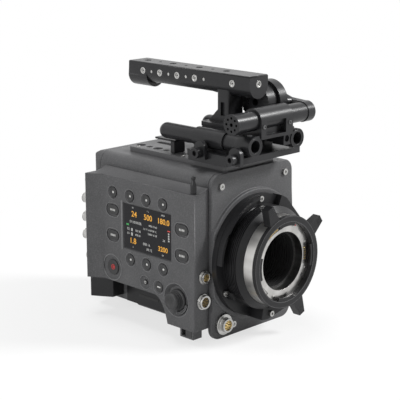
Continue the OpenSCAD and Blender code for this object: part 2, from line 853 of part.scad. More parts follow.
module adapter_flange() {
  color([0.08, 0.08, 0.09]) place() on_axis(boss_t) difference() {
    union() {
      cylinder(r = adapter_r, h = adapter_base_h, $fn = 128);
      translate([0, 0, adapter_base_h]) cylinder(r = barrel_r, h = barrel_h, $fn = 128);
      translate([0, 0, adapter_base_h + barrel_h])
        cylinder(r1 = barrel_r, r2 = barrel_front_r, h = barrel_cone_h, $fn = 128);
      translate([0, 0, adapter_base_h])
        ring_sector(adapter_r - adapter_rim_w, adapter_r - step_w, adapter_rim_h,
              rim_angles[0], rim_angles[1]);
      // Stepped lobes at the top right and at the bottom
      for (k = [0 : 1]) intersection() {
        ring_sector(barrel_r - groove_d, lobe_out_r, lobe_heights[k],
              lobe_angles[k] - lobe_sweep, lobe_angles[k] + lobe_sweep);
        rotate([0, 0, lobe_angles[k]]) translate([0, -lobe_out_r / 2, 0])
          cube([adapter_r - lobe_flat, lobe_out_r, lobe_heights[k]]);
      }
      rotate([0, 0, notch_angle]) translate([barrel_r - notch_w / 2, -notch_h / 2, 0])
        cube([notch_w, notch_h, adapter_base_h + notch_h]);
    }
    translate([0, 0, -eps]) cylinder(r = adapter_bore_r, h = adapter_h + 2 * eps);
    // Fine grooves round the barrel
    for (i = [0 : groove_count - 1])
      translate([0, 0, adapter_base_h + groove_pitch * (i + 1) - groove_w / 2])
        ring_sector(barrel_r - groove_d, barrel_r + groove_pitch, groove_w,
              groove_angles[0], groove_angles[1]);
    // Flats and seats for the screws
    for (i = [0 : adapter_screw_count - 1])
      rotate([0, 0, adapter_screw_turn + i * adapter_screw_step])
        translate([adapter_screw_r, 0, 0]) {
          translate([0, 0, screw_seat(i)])
            cylinder(r = adapter_head_r + side_gap, h = adapter_h);
          translate([0, 0, -eps]) cylinder(r = adapter_shank_r, h = adapter_h);
        }
  }
}

module adapter_screws() {
  color("silver") place() on_axis(boss_t)
    for (i = [0 : adapter_screw_count - 1])
      rotate([0, 0, adapter_screw_turn + i * adapter_screw_step])
        translate([adapter_screw_r, 0, screw_seat(i)])
          cap_screw(adapter_head_r, adapter_head_h, adapter_shank_r,
               boss_t + screw_seat(i) + adapter_screw_depth - side_gap);
}

// The steel lens mount: a base flange on the adapter and a tube with the lens face
mount_wall_r = lock_in_r - run_gap;
mount_flange_r = 42.2;
sleeve_out = 38;
skirt_r = 39.5;
mount_tube_l = 5.6;
mount_flange_t = flange_out - adapter_front - mount_tube_l;
contact_w = 14;
contact_h = 3;
contact_d = 1.2;
contact_angle = 60;
bayonet_slot_w = 9;
bayonet_slot_d = 2.6;
mount_bore_r = mount_bore_d / 2;
mount_bore_l = flange_out - adapter_front;

module lens_mount() {
  color("silver") place() on_axis(adapter_front) difference() {
    union() {
      cylinder(r = mount_flange_r, h = mount_flange_t, $fn = 128);
      cylinder(r = mount_wall_r, h = mount_bore_l, $fn = 128);
      ring(skirt_r + run_gap, mount_flange_r, sleeve_out - adapter_front, $fn = 128);
    }
    translate([0, 0, -eps]) cylinder(r = mount_bore_r, h = mount_bore_l + 2 * eps, $fn = 128);
    // Slots between the four lens seats
    for (a = [45 : 90 : 315]) rotate([0, 0, a])
      translate([mount_bore_r + bayonet_slot_d * 2, -bayonet_slot_w / 2, mount_bore_l - bayonet_slot_d])
        cube([bayonet_slot_w, bayonet_slot_w, bayonet_slot_d + eps]);
    // The seat of the electrical contacts
    rotate([0, 0, contact_angle * 2]) translate([contact_r, 0, mount_bore_l - contact_d])
      translate([-contact_h / 2, -contact_w / 2, 0]) cube([contact_h, contact_w, contact_d + eps]);
  }
}

contact_r = 31.8;
pin_count = 4;
pin_r = 0.8;
module mount_contacts() {
  color("gold") place() on_axis(adapter_front + mount_bore_l - contact_d)
    rotate([0, 0, contact_angle * 2]) translate([contact_r, 0, 0]) {
      translate([-contact_h / 2, -contact_w / 2, 0]) cube([contact_h, contact_w, contact_d / 2]);
      for (i = [0 : pin_count - 1])
        translate([0, (i - (pin_count - 1) / 2) * contact_w / (pin_count + 1), 0])
          cylinder(r = pin_r, h = contact_d);
    }
}

// The locking ring turns on the mount's tube and holds the lens by four inner lips
wing_angles = [34, 113, -67];
wing_tip_r = [57, 58, 59];
wing_base_w = 14;
wing_tip_w = 7;
wing_l = 8.4;
lip_t = 2;
lip_in = 3;
lip_sweep = 34;

module locking_ring() {
  z0 = adapter_front + mount_flange_t;
  face_l = z0 + lock_l - sleeve_out - side_gap;
  color([0.1, 0.1, 0.11]) place() on_axis(z0) {
    // The skirt runs between the mount's tube and its sleeve
    translate([0, 0, side_gap]) ring(lock_in_r, skirt_r, lock_l - face_l, $fn = 128);
    translate([0, 0, lock_l - face_l]) ring(lock_in_r, lock_out_r, face_l, $fn = 128);
    for (a = [0 : 90 : 270]) rotate([0, 0, a]) translate([0, 0, lock_l - lip_t])
      ring_sector(lock_in_r - lip_in, lock_in_r + eps, lip_t - step_w,
            -lip_sweep / 2, lip_sweep / 2);
    for (i = [0 : len(wing_angles) - 1]) rotate([0, 0, wing_angles[i]])
      translate([0, 0, lock_l - wing_l]) difference() {
        linear_extrude(wing_l - step_w) polygon([
          [lock_in_r + lip_in, -wing_base_w / 2], [wing_tip_r[i], -wing_tip_w / 2],
          [wing_tip_r[i], wing_tip_w / 2], [lock_in_r + lip_in, wing_base_w / 2]]);
        translate([0, 0, -eps])
          cylinder(r = mount_flange_r + side_gap, h = wing_l - face_l + eps + side_gap,
              $fn = 128);
      }
  }
}

// The throat's baffle, ribbed inside
baffle_in_r = 25.5;
rib_pitch = 3;
rib_d = 1;
throat_l = plate_t + boss_t + adapter_h;
module throat_baffle() {
  ribs = floor((throat_l - rib_pitch) / rib_pitch);
  color([0.05, 0.05, 0.05]) place() on_axis(-plate_t) difference() {
    cylinder(r = adapter_bore_r, h = throat_l);
    translate([0, 0, -eps]) cylinder(r = baffle_in_r, h = throat_l + 2 * eps);
    for (i = [0 : ribs - 1]) translate([0, 0, rib_pitch * (i + 1)])
      cylinder(r = baffle_in_r + rib_d, h = rib_pitch / 2);
  }
}

// The filter wheel turns on a pin behind the front plate
filter_web = 2;
filter_count = 4;
filter_lip = 1;
wheel_side_gap = 1.7;
wheel_top_gap = 0.53;
// A filter is as large as the wheel allows that fits across and under the housing's roof
pitch_share = 1 / sin(180 / filter_count);
filter_r_across = (inner_w / 2 - wheel_side_gap - filter_web * (pitch_share / 2 + 1))
         / (pitch_share + 1);
filter_r_upward = (body_h - wall - axis_z - wheel_top_gap - filter_web * (pitch_share + 1))
         / (2 * pitch_share + 1);
filter_r = min(filter_r_across, filter_r_upward);
wheel_pitch_r = (filter_r + filter_web / 2) * pitch_share;
wheel_r = wheel_pitch_r + filter_r + filter_web;
wheel_z = axis_z + wheel_pitch_r;
wheel_gap = 0.36;
wheel_y0 = plate_t + wheel_gap;
wheel_t = 3.4;
wheel_y1 = wheel_y0 + wheel_t;
wheel_pin_over = 1.2;

module nd_filter_wheel() {
  color([0.1, 0.1, 0.1]) place() difference() {
    bar_y(wheel_r, wheel_y0, wheel_y1, 0, wheel_z);
    bar_y(wheel_pin_r + run_gap, wheel_y0 - eps, wheel_y1 + eps, 0, wheel_z);
    for (i = [0 : filter_count - 1]) translate([0, 0, wheel_z])
      rotate([0, 360 * i / filter_count, 0]) translate([0, 0, -wheel_pitch_r]) {
        bar_y(filter_r - filter_lip, wheel_y0 - eps, wheel_y1 + eps, 0, 0);
        bar_y(filter_r, wheel_y0 + wheel_t / 3, wheel_y1 + eps, 0, 0);
      }
  }
}

module nd_filters() {
  color([0.3, 0.3, 0.35]) place() for (i = [0 : filter_count - 1])
    translate([0, 0, wheel_z]) rotate([0, 360 * i / filter_count, 0])
      translate([0, 0, -wheel_pitch_r])
        bar_y(filter_r, wheel_y0 + wheel_t / 3, wheel_y1 - wheel_t / 3, 0, 0);
}

// The sensor's carrier spans the housing and holds the sensor behind its window
carrier_t = 4;
carrier_z0 = 26;
carrier_drop = 36;
carrier_z1 = body_h - carrier_drop;
sensor_w = 40;
sensor_h = 30;
sensor_t = 1.5;
cover_glass_t = 1.2;

module sensor_module() {
  color([0.15, 0.2, 0.15]) place() difference() {
    block(-inner_w / 2, inner_w / 2, sensor_y, sensor_y + carrier_t, carrier_z0, carrier_z1);
    block(-sensor_w / 2, sensor_w / 2, sensor_y - eps, sensor_y + sensor_t,
       axis_z - sensor_h / 2, axis_z + sensor_h / 2);
  }
  color([0.2, 0.25, 0.35]) place()
    block(-sensor_w / 2, sensor_w / 2, sensor_y, sensor_y + sensor_t,
       axis_z - sensor_h / 2, axis_z + sensor_h / 2);
}

module sensor_glass() {
  color([0.5, 0.6, 0.6]) place()
    block(-sensor_w / 2, sensor_w / 2, sensor_y - cover_glass_t, sensor_y,
       axis_z - sensor_h / 2, axis_z + sensor_h / 2);
}

// The heat sink stands behind the carrier, with the fan behind its fins
sink_w = 64;
sink_h = 64;
sink_base = 5;
sink_l = 40;
fin_t = 1.6;
fin_count = 11;
fan_t = 15;
fan_r = 29;
fan_hub_r = 11;
fan_pin_r = 2;
fan_floor = 2;
spoke_w = 4;
blade_count = 7;
blade_t = 1.6;
sink_y0 = sensor_y + carrier_t;
fan_y0 = sink_y0 + sink_l;

module heat_sink() {
  pitch = (sink_w - fin_t) / (fin_count - 1);
  color([0.6, 0.6, 0.62]) place() {
    block(-sink_w / 2, sink_w / 2, sink_y0, sink_y0 + sink_base,
       axis_z - sink_h / 2, axis_z + sink_h / 2);
    for (i = [0 : fin_count - 1])
      block(-sink_w / 2 + i * pitch, -sink_w / 2 + i * pitch + fin_t,
         sink_y0 + sink_base, sink_y0 + sink_l,
         axis_z - sink_h / 2, axis_z + sink_h / 2);
  }
}

module fan_frame() {
  color([0.1, 0.1, 0.1]) place() {
    difference() {
      block(-sink_w / 2, sink_w / 2, fan_y0, fan_y0 + fan_t,
         axis_z - sink_h / 2, axis_z + sink_h / 2);
      bar_y(fan_r + side_gap * 2, fan_y0 - eps, fan_y0 + fan_t + eps, 0, axis_z);
    }
    block(-sink_w / 2, sink_w / 2, fan_y0 + fan_t - fan_floor, fan_y0 + fan_t,
       axis_z - spoke_w / 2, axis_z + spoke_w / 2);
    block(-spoke_w / 2, spoke_w / 2, fan_y0 + fan_t - fan_floor, fan_y0 + fan_t,
       axis_z - sink_h / 2, axis_z + sink_h / 2);
    bar_y(fan_pin_r, fan_y0 + fan_floor, fan_y0 + fan_t, 0, axis_z);
  }
}

module fan_rotor() {
  color([0.15, 0.15, 0.15]) place() {
    y1 = fan_y0 + fan_t - fan_floor - side_gap;
    difference() {
      union() {
        bar_y(fan_hub_r, fan_y0 + side_gap, y1, 0, axis_z);
        for (i = [0 : blade_count - 1]) translate([0, 0, axis_z])
          rotate([0, 360 * i / blade_count, 0])
            block(fan_hub_r / 2, fan_r, fan_y0 + fan_floor, y1 - fan_floor,
               -blade_t / 2, blade_t / 2);
      }
      bar_y(fan_pin_r + run_gap, fan_y0 - eps, fan_y0 + fan_t, 0, axis_z);
    }
  }
}

// The main board stands on the housing's floor behind the panel
board_t = 1.8;
board_side = 10.9;
board_x = board_side - side_x;
board_y0 = 24;
board_rear_gap = 7;
board_y1 = housing_y1 - board_rear_gap;
board_drop = 22;
board_z1 = body_h - board_drop;
chip_sizes = [[30, 30, 4], [18, 18, 3], [24, 14, 3], [14, 20, 5]];
chip_shares = [[0.31056, 0.62338], [0.57143, 0.67532], [0.37267, 0.37662], [0.69565, 0.4026]];
module main_board() {
  color([0.1, 0.35, 0.2]) place() {
    block(board_x, board_x + board_t, board_y0, board_y1, floor_z, board_z1);
    for (i = [0 : len(chip_sizes) - 1])
      block(board_x - chip_sizes[i][2], board_x,
         chip_shares[i][0] * body_d, chip_shares[i][0] * body_d + chip_sizes[i][0],
         chip_shares[i][1] * body_h - chip_sizes[i][1] / 2,
         chip_shares[i][1] * body_h + chip_sizes[i][1] / 2);
  }
}

// The stud for a tape measure
hook_base_r = 2.8;
hook_base_h = 8;
hook_neck_r = 1.3;
hook_neck_h = 5;
hook_ball_r = 2.2;
module tape_hook() {
  color([0.06, 0.06, 0.06]) place() translate([hook_x, hook_y, panel_top]) {
    translate([0, 0, -hook_foot_d]) cylinder(r = hook_foot_r, h = hook_foot_d + hook_base_h);
    cylinder(r = hook_base_r, h = hook_base_h);
    translate([0, 0, hook_base_h]) cylinder(r1 = hook_base_r, r2 = hook_neck_r, h = hook_neck_h);
    translate([0, 0, hook_base_h + hook_neck_h + hook_ball_r / 2]) sphere(r = hook_ball_r);
  }
}

// The handle's bar is D-shaped, with its flat side up
grip_rise = 2.2;
grip_y0 = 45;
grip_y1 = 116;
hook_drop = 3.6;
hook_len_y0 = 128;
insert_r = 3.3;
small_insert_r = 1.6;
insert_drop = 8.3;
insert_depth = 9;
insert_t = 1.2;
insert_pitch = 23.2;
insert_rear_gap = 20.3;
insert_count = 4;
front_insert_y = 16.4;
front_screw_drop = 7.8;
handle_top = handle_z + handle_h;
handle_y0 = -handle_out;
handle_y1 = handle_l - handle_out;
top_row_gap = 15;
top_row_count = 7;
top_pitch_share = 0.75;

// Places of the large threads along the handle's side
function insert_y(i) = handle_y1 - insert_rear_gap - i * insert_pitch;

module handle_bar() {
  half = handle_w / 2;
  color([0.1, 0.1, 0.11]) place() difference() {
    union() {
      intersection() {
        along_y(handle_y0, handle_y1) {
          translate([0, handle_z + half]) circle(r = half);
          translate([-half, handle_z + half])
            square([handle_w, handle_h - half]);
        }
        along_x(-handle_w, handle_w) polygon([
          [handle_y0, handle_z], [grip_y0 - grip_rise * 4, handle_z],
          [grip_y0, handle_z + grip_rise], [grip_y1, handle_z + grip_rise],
          [grip_y1 + grip_rise * 4, handle_z], [handle_y1, handle_z],
          [handle_y1, handle_top], [handle_y0, handle_top]]);
      }
      // The drop at the rear end has the bar's own section, set lower
      along_y(hook_len_y0, handle_y1) {
        translate([0, handle_z + half - hook_drop]) circle(r = half);
        translate([-half, handle_z + half - hook_drop]) square([handle_w, half]);
      }
    }
    for (s = [-1, 1]) {
      for (i = [0 : insert_count - 1]) {
        bar_x(insert_r, s > 0 ? half - insert_depth : -half - eps,
           s > 0 ? half + eps : -half + insert_depth,
           insert_y(i), handle_top - insert_drop);
        if (s < 0)
          bar_x(small_insert_r, -half - eps, -half + insert_depth,
             insert_y(i) - insert_pitch / 2, handle_top - insert_drop);
      }
      bar_x(insert_r, s > 0 ? half - insert_depth : -half - eps,
         s > 0 ? half + eps : -half + insert_depth,
         front_insert_y, handle_top - insert_drop);
    }
    bar_y(insert_r, handle_y0 - eps, handle_y0 + insert_depth, 0, handle_top - front_screw_drop);
    for (i = [0 : top_row_count - 1])
      bar_z(i % 2 == 0 ? insert_r : small_insert_r, handle_top - insert_depth / 2,
         handle_top + eps, 0, handle_y1 - top_row_gap - i * insert_pitch * top_pitch_share);
    // The seat of the post
    along_z(handle_z - eps, handle_z + post_in) post_outline(run_gap);
  }
}

// Threaded inserts pressed into the handle's sides and front
module handle_inserts() {
  half = handle_w / 2;
  color("silver") place() {
    for (s = [-1, 1]) {
      for (i = [0 : insert_count - 1]) insert_x(s, insert_y(i));
      insert_x(s, front_insert_y);
    }
    difference() {
      bar_y(insert_r, handle_y0, handle_y0 + insert_depth, 0, handle_top - front_screw_drop);
      bar_y(insert_r - insert_t, handle_y0 - eps, handle_y0 + insert_depth - insert_t,
         0, handle_top - front_screw_drop);
    }
  }
  module insert_x(s, y) difference() {
    bar_x(insert_r, s > 0 ? half - insert_depth : -half,
       s > 0 ? half : -half + insert_depth, y, handle_top - insert_drop);
    bar_x(insert_r - insert_t, s > 0 ? half - insert_depth + insert_t : -half - eps,
       s > 0 ? half + eps : -half + insert_depth - insert_t, y, handle_top - insert_drop);
  }
}

// The post stands on the cradle's deck and carries the bar
post_in = 6;
post_r = 2;
post_slot_w = 5;
post_slot_d = 2.5;
foot_t = 4;
foot_half_w = 19;
foot_rear_d = 12;
foot_front_d = 7;
foot_screw_r = 2;
foot_head_r = 3;
module post_outline(grow) {
  rounded_from(-handle_w / 2 + post_r - grow, handle_w / 2 - post_r + grow,
        post_y - grow, post_y + post_d + grow, post_r);
}
module handle_post() {
  color([0.1, 0.1, 0.11]) place() difference() {
    union() {
      along_z(deck_z, handle_z + post_in) post_outline(0);
      along_z(deck_z, deck_z + foot_t)
        rounded_from(-foot_half_w, foot_half_w, post_y - foot_front_d,
              post_y + post_d + foot_rear_d, post_r);
      // Gussets behind and beside the post
      along_x(-handle_w / 2 + post_r, handle_w / 2 - post_r)
        polygon([[post_y + post_d - post_r, deck_z + foot_t],
            [post_y + post_d + foot_rear_d - post_r, deck_z + foot_t],
            [post_y + post_d - post_r, deck_z + foot_t + foot_rear_d]]);
    }
    // A long slot in each side of the post
    for (s = [-1, 1])
      translate([s * handle_w / 2 - s * post_r, post_y + post_d / 2,
           (deck_z + foot_t + handle_z) / 2])
        cube([2 * post_slot_d, post_slot_w, handle_z - deck_z - foot_t - foot_rear_d], center = true);
    for (sx = [-1, 1], y = [post_y - foot_front_d / 2, post_y + post_d + foot_rear_d - foot_front_d / 2])
      {
        bar_z(foot_screw_r, deck_z - eps, deck_z + foot_t + eps,
           sx * (foot_half_w - foot_front_d / 2), y);
        bar_z(foot_head_r + run_gap, deck_z + foot_t - foot_screw_r, deck_z + foot_t + eps,
           sx * (foot_half_w - foot_front_d / 2), y);
      }
  }
}

// The cradle clamps the top plate and carries the rods and the post
slab_left = 40.5;
slab_right = 42.5;
slab_y0 = -20;
slab_y1 = 46;
slab_t = 5.5;
slab_r = 3;
slab_up = 5.4;
slab_z = top_z + slab_up;
collar_t = 1.6;
collar_y0 = 5;
collar_y1 = 42;
jaw_t = 4;
lug_r = 7;
lug_t = 4;
bolt_y = [25, -18];
bolt_up = 5.8;
bolt_z = slab_z + bolt_up;
bolt_head_r = 4.8;
bolt_head_l = 6.5;
bolt_shank_r = 2.5;
deck_half = 20;
deck_y0 = 12.5;
lug_up = 2;
foot_y0 = 4;
foot_half = 31;

module vf_cradle() {
  collar_r = rod_d / 2 + collar_t;
  color([0.12, 0.12, 0.13]) place() difference() {
    union() {
      along_z(slab_z, slab_z + slab_t)
        rounded_from(-slab_left, slab_right, slab_y0, slab_y1, slab_r);
      block(-foot_half, foot_half, foot_y0, slab_y1, top_z, slab_z);
      block(-deck_half, deck_half, deck_y0, slab_y1, slab_z + slab_t, deck_z);
      for (s = [-1, 1]) {
        bar_y(collar_r, collar_y0, collar_y1, s * rod_pitch / 2, rod_z);
        block(s > 0 ? deck_half : -foot_half, s > 0 ? foot_half : -deck_half,
           collar_y0, collar_y1, slab_z + slab_t, rod_z);
      }
      // Lugs that the side bolts clamp, and the jaw below them
      for (y = bolt_y) {
        bar_x(lug_r, -slab_left - lug_t, -slab_left, y, slab_z + lug_r + lug_up);
        block(-slab_left - lug_t, -slab_left, y - lug_r, y + lug_r,
           slab_z, slab_z + lug_r + lug_up);
      }
      block(-slab_left, -foot_half, bolt_y[1] + 2 * lug_r, slab_y1 - slab_r,
         slab_z - jaw_t, slab_z);
    }
    for (s = [-1, 1])
      bar_y(rod_d / 2 + run_gap, slab_y0 - eps, rod_tail_l + eps, s * rod_pitch / 2, rod_z);
    for (y = bolt_y)
      bar_x(bolt_shank_r, -slab_left - lug_t - eps, -slab_left, y, bolt_z);
    for (sx = [-1, 1], y = [post_y - foot_front_d / 2, post_y + post_d + foot_rear_d - foot_front_d / 2])
      bar_z(foot_screw_r, deck_z - foot_t * 2, deck_z + eps,
         sx * (foot_half_w - foot_front_d / 2), y);
  }
}

module cradle_bolts() {
  color([0.15, 0.15, 0.16]) place() {
    for (y = bolt_y) translate([-slab_left - lug_t, y, bolt_z]) rotate([0, -90, 0])
      cap_screw(bolt_head_r, bolt_head_l, bolt_shank_r, lug_t);
    for (sx = [-1, 1], y = [post_y - foot_front_d / 2, post_y + post_d + foot_rear_d - foot_front_d / 2])
      translate([sx * (foot_half_w - foot_front_d / 2), y, deck_z + foot_t - foot_screw_r])
        cap_screw(foot_head_r, foot_screw_r, foot_screw_r, foot_t * 2);
  }
}

// The two rods slide in the cradle's collars
module vf_rods() {
  color([0.1, 0.1, 0.11]) place() for (s = [-1, 1]) difference() {
    union() {
      bar_y(rod_d / 2, -rod_out, rod_tail_l - rod_d / 2, s * rod_pitch / 2, rod_z);
      intersection() {
        translate([s * rod_pitch / 2, rod_tail_l - rod_d / 2, rod_z]) sphere(r = rod_d / 2);
        block(s * rod_pitch / 2 - rod_d, s * rod_pitch / 2 + rod_d,
           rod_tail_l - rod_d / 2, rod_tail_l + rod_d, rod_z - rod_d, rod_z + rod_d);
      }
    }
    bar_y(rod_bore_d / 2, -rod_out - eps, rod_tail_l - rod_d, s * rod_pitch / 2, rod_z);
  }
}

// The bridge joins the rods' front ends and clamps the cross tube
bridge_half = 21;
bridge_low_up = 5.1;
bridge_low = rod_z + bridge_low_up;
wrap_t = 2.2;
clamp_t = 1.4;
clamp_l = 14;
clamp_cone_l = 4;
pocket_x0 = -14.6;
pocket_x1 = 11.7;
pocket_z0 = deck_z;
pocket_d = 6;
bridge_screw_r = 3;
bridge_foot_x0 = 10;
bridge_foot_x1 = 18.5;
bridge_foot_drop = 4.3;
bridge_foot_low = rod_z - bridge_foot_drop;
tube_y = -tube_out;
tube_z = rod_z + tube_up;

module rod_bridge() {
  wrap_r = tube_d / 2 + wrap_t;
  clamp_r = rod_d / 2 + clamp_t;
  color([0.12, 0.12, 0.13]) place() difference() {
    union() {
      bar_x(wrap_r, -bridge_half, bridge_half, tube_y, tube_z);
      block(-bridge_half, bridge_half, tube_y - wrap_r, tube_y + wrap_r, bridge_low, tube_z);
      for (s = [-1, 1]) {
        bar_y(clamp_r, -rod_out, -rod_out + clamp_l, s * rod_pitch / 2, rod_z);
        translate([s * rod_pitch / 2, -rod_out + clamp_l, rod_z]) rotate([-90, 0, 0])
          cylinder(r1 = clamp_r, r2 = rod_d / 2 + run_gap + clamp_t / 2, h = clamp_cone_l);
        block(s > 0 ? bridge_half - clamp_t : -rod_pitch / 2,
           s > 0 ? rod_pitch / 2 : -bridge_half + clamp_t,
           -rod_out + clamp_t / 2, -rod_out + clamp_l,
           bridge_low, rod_z + clamp_r);
      }
      block(bridge_foot_x0, bridge_foot_x1 + clamp_t, -rod_out + clamp_t / 2,
         -rod_out + clamp_l, bridge_foot_low, bridge_low);
    }
    bar_x(tube_d / 2 + run_gap, -bridge_half - eps, bridge_half + eps, tube_y, tube_z);
    for (s = [-1, 1])
      bar_y(rod_d / 2, -rod_out - eps, rod_tail_l, s * rod_pitch / 2, rod_z);
    block(pocket_x0, pocket_x1, tube_y - wrap_r - eps, tube_y - wrap_r + pocket_d,
       pocket_z0, tube_z);
    bar_y(bridge_screw_r, -rod_out - eps, -rod_out + pocket_d / 2,
       (bridge_foot_x0 + bridge_foot_x1) / 2, rod_z + clamp_t);
  }
}

// The cross tube slides sideways in the bridge
cap_hole_count = 8;
cap_hole_r = 1.1;
cap_bore_r = 1.6;
cap_ring_r = 5.8;
cap_t = 2.5;
cap_rim = 0.4;
tube_wall = 1.8;
module cross_tube() {
  color([0.1, 0.1, 0.11]) place() difference() {
    bar_x(tube_d / 2, -tube_left, tube_right, tube_y, tube_z);
    bar_x(tube_d / 2 - tube_wall, -tube_left - eps, tube_right - tube_wall, tube_y, tube_z);
    bar_x(hub_pin_r + run_gap, tube_right - 2 * tube_wall, tube_right + eps, tube_y, tube_z);
  }
}

module tube_cap() {
  color([0.3, 0.3, 0.32]) place() difference() {
    union() {
      bar_x(tube_d / 2 + cap_rim, -tube_left - cap_t, -tube_left, tube_y, tube_z);
      bar_x(tube_d / 2 - tube_wall, -tube_left, -tube_left + cap_t * 2, tube_y, tube_z);
    }
    for (i = [0 : cap_hole_count - 1])
      let (a = 360 * i / cap_hole_count)
        bar_x(cap_hole_r, -tube_left - cap_t - eps, -tube_left + cap_t / 2,
           tube_y + cap_ring_r * cos(a), tube_z + cap_ring_r * sin(a));
    bar_x(cap_bore_r, -tube_left - cap_t - eps, -tube_left + cap_t / 2, tube_y, tube_z);
  }
}

// The swing arm turns about the cross tube and ends in a round hub beside the handle
hub_r = 9.5;
hub_l = 9.5;
hub_pin_r = 4;
hub_head_r = 6;
hub_head_t = 2;
disc_x0 = 28.4;
disc_t = 10;
disc_y = 13;
disc_up = 29.1;
disc_z = rod_z + disc_up;
rosette_r = 16.5;
rosette_x0 = handle_w / 2 + 3;
rosette_pin_r = 3;
teeth_count = 24;
teeth_d = 0.7;
arm_r = 5;
elbow_r = 4;
elbow_up = 7.6;
elbow_side = 3.2;
web_low_share = 0.6;
web_top_share = 0.5;
module elbow() {
  translate([tube_right + elbow_side, (disc_y + tube_y) / 2, tube_z + elbow_up])
    sphere(r = elbow_r, $fn = hull_fn);
}
module swing_arm() {
  color([0.1, 0.1, 0.11]) place() difference() {
    union() {
      bar_x(hub_r, tube_right + side_gap, tube_right + hub_l, tube_y, tube_z);
      bar_x(hub_pin_r, tube_right - tube_wall - side_gap - hub_head_t, tube_right + hub_l,
         tube_y, tube_z);
      // The pin's head inside the tube keeps the arm on
      bar_x(hub_head_r, tube_right - tube_wall - side_gap - hub_head_t,
         tube_right - tube_wall - side_gap, tube_y, tube_z);
      bar_x(disc_r, disc_x0, disc_x0 + disc_t, disc_y, disc_z);
      // The swept web between the two round ends
      hull() {
        translate([disc_x0 + disc_t - arm_r, disc_y - disc_r * web_low_share, disc_z])
          sphere(r = arm_r, $fn = hull_fn);
        translate([disc_x0 + disc_t - arm_r, disc_y, disc_z + disc_r * web_top_share])
          sphere(r = arm_r, $fn = hull_fn);
        elbow();
      }
      hull() {
        elbow();
        bar_x(hub_r - side_gap, tube_right + hub_l / 2, tube_right + hub_l,
           tube_y, tube_z, $fn = hull_fn);
      }
    }
    bar_x(rosette_pin_r + run_gap, disc_x0 - eps, disc_x0 + disc_t - arm_r, disc_y, disc_z);
  }
}

module rosette_disc() {
  x1 = disc_x0 - side_gap;
  color([0.14, 0.14, 0.15]) place() difference() {
    union() {
      bar_x(rosette_r, rosette_x0 + teeth_d, x1, disc_y, disc_z);
      bar_x(rosette_pin_r, x1 - side_gap, disc_x0 + disc_t - arm_r - side_gap, disc_y, disc_z);
      for (i = [0 : teeth_count - 1]) translate([0, disc_y, disc_z])
        rotate([360 * i / teeth_count, 0, 0])
          block(rosette_x0, rosette_x0 + teeth_d * 2,
             rosette_r / 2, rosette_r, -teeth_d, teeth_d);
    }
    bar_x(thread_r, rosette_x0 - eps, x1 - disc_t / 4, disc_y, disc_z);
  }
}

// A round key: a cap in its hole and a flange behind the wall
module round_key(y, z, r) {
  color([0.1, 0.1, 0.1]) place() {
    bar_x(r, -panel_x + key_dish_d - key_proud - key_dish_d / 2, -panel_x + panel_wall, y, z);
    bar_x(r + key_flange, -panel_x + panel_wall, -panel_x + panel_wall + key_flange_t, y, z);
  }
}

// A pill-shaped key
module pill_key(y, z) {
  color([0.1, 0.1, 0.1]) place() translate([0, y, z]) {
    along_x(-panel_x - pill_proud, -panel_x + panel_wall) slot_shape(pill_w, pill_h);
    along_x(-panel_x + panel_wall, -panel_x + panel_wall + key_flange_t)
      slot_shape(pill_w + 2 * key_flange, pill_h + 2 * key_flange);
  }
}
pill_proud = 0.2;

module key_upper_rear() { round_key(key_y[0], key_top_z, key_d / 2); }
module key_upper_middle() { round_key(key_y[1], key_top_z, key_d / 2); }
module key_upper_front() { round_key(key_y[2], key_top_z, key_d / 2); }
module nd_key() { round_key(nd_key_y, key_top_z, key_d / 2); }
module key_lower_rear() { round_key(key_y[0], key_low_z, key_d / 2); }
module key_lower_middle() { round_key(key_y[1], key_low_z, key_d / 2); }
module key_lower_front() { round_key(key_y[2], key_low_z, key_d / 2); }
module user_key() { pill_key(pill_rear_y, pill_rear_z[0]); }
module clips_key() { pill_key(pill_rear_y, pill_rear_z[1]); }
module home_key() { pill_key(pill_front_y, pill_front_z[0]); }
module menu_key() { pill_key(pill_front_y, pill_front_z[1]); }
module record_button() { round_key(record_y, record_z, record_r); }
module help_key() { round_key(help_y, help_z, help_r); }
module lock_key() { round_key(lock_y, lock_z, lock_r); }

// The menu dial turns on a shaft through the dish's floor
dial_shaft_r = 3;
dial_retainer_r = 5;
finger_r = 4.2;
finger_d = 2.2;
finger_off = 4.4;
module menu_dial() {
  x_floor = -panel_x + dial_dish_d;
  color([0.08, 0.08, 0.08]) place() difference() {
    union() {
      bar_x(dial_d / 2, x_floor - dial_l, x_floor - side_gap, dial_y, dial_z);
      bar_x(dial_shaft_r, x_floor - dial_l / 2, x_floor + panel_wall + side_gap + key_flange_t,
         dial_y, dial_z);
      bar_x(dial_retainer_r, x_floor + panel_wall + side_gap,
         x_floor + panel_wall + side_gap + key_flange_t, dial_y, dial_z);
    }
    bar_x(finger_r, x_floor - dial_l - eps, x_floor - dial_l + finger_d,
       dial_y, dial_z + finger_off);
  }
}

// The power switch is a slider in a guard under the panel's front end
switch_y0 = 8;
switch_l = 8;
switch_travel = 5;
guard_side = 17;
guard_w = 11;
guard_x0 = -side_x - guard_side;
guard_x1 = guard_x0 + guard_w;
guard_y1 = 23;
guard_t = 1.6;
guard_h = 8;
module switch_guard() {
  difference() {
    block(guard_x0, guard_x1, switch_y0 - guard_t, guard_y1,
       panel_front_low - guard_h, panel_front_low + eps);
    block(guard_x0 - eps, guard_x1 - guard_t, switch_y0, switch_y0 + switch_l + switch_travel,
       panel_front_low - guard_h + guard_t, panel_front_low);
  }
}
module power_switch() {
  z0 = panel_front_low - guard_h + guard_t;
  color([0.1, 0.1, 0.1]) place()
    block(guard_x0 - side_gap, guard_x1 - guard_t - side_gap,
       switch_y0 + side_gap / 2, switch_y0 + switch_l - side_gap / 2,
       z0 + run_gap, panel_front_low - run_gap);
}

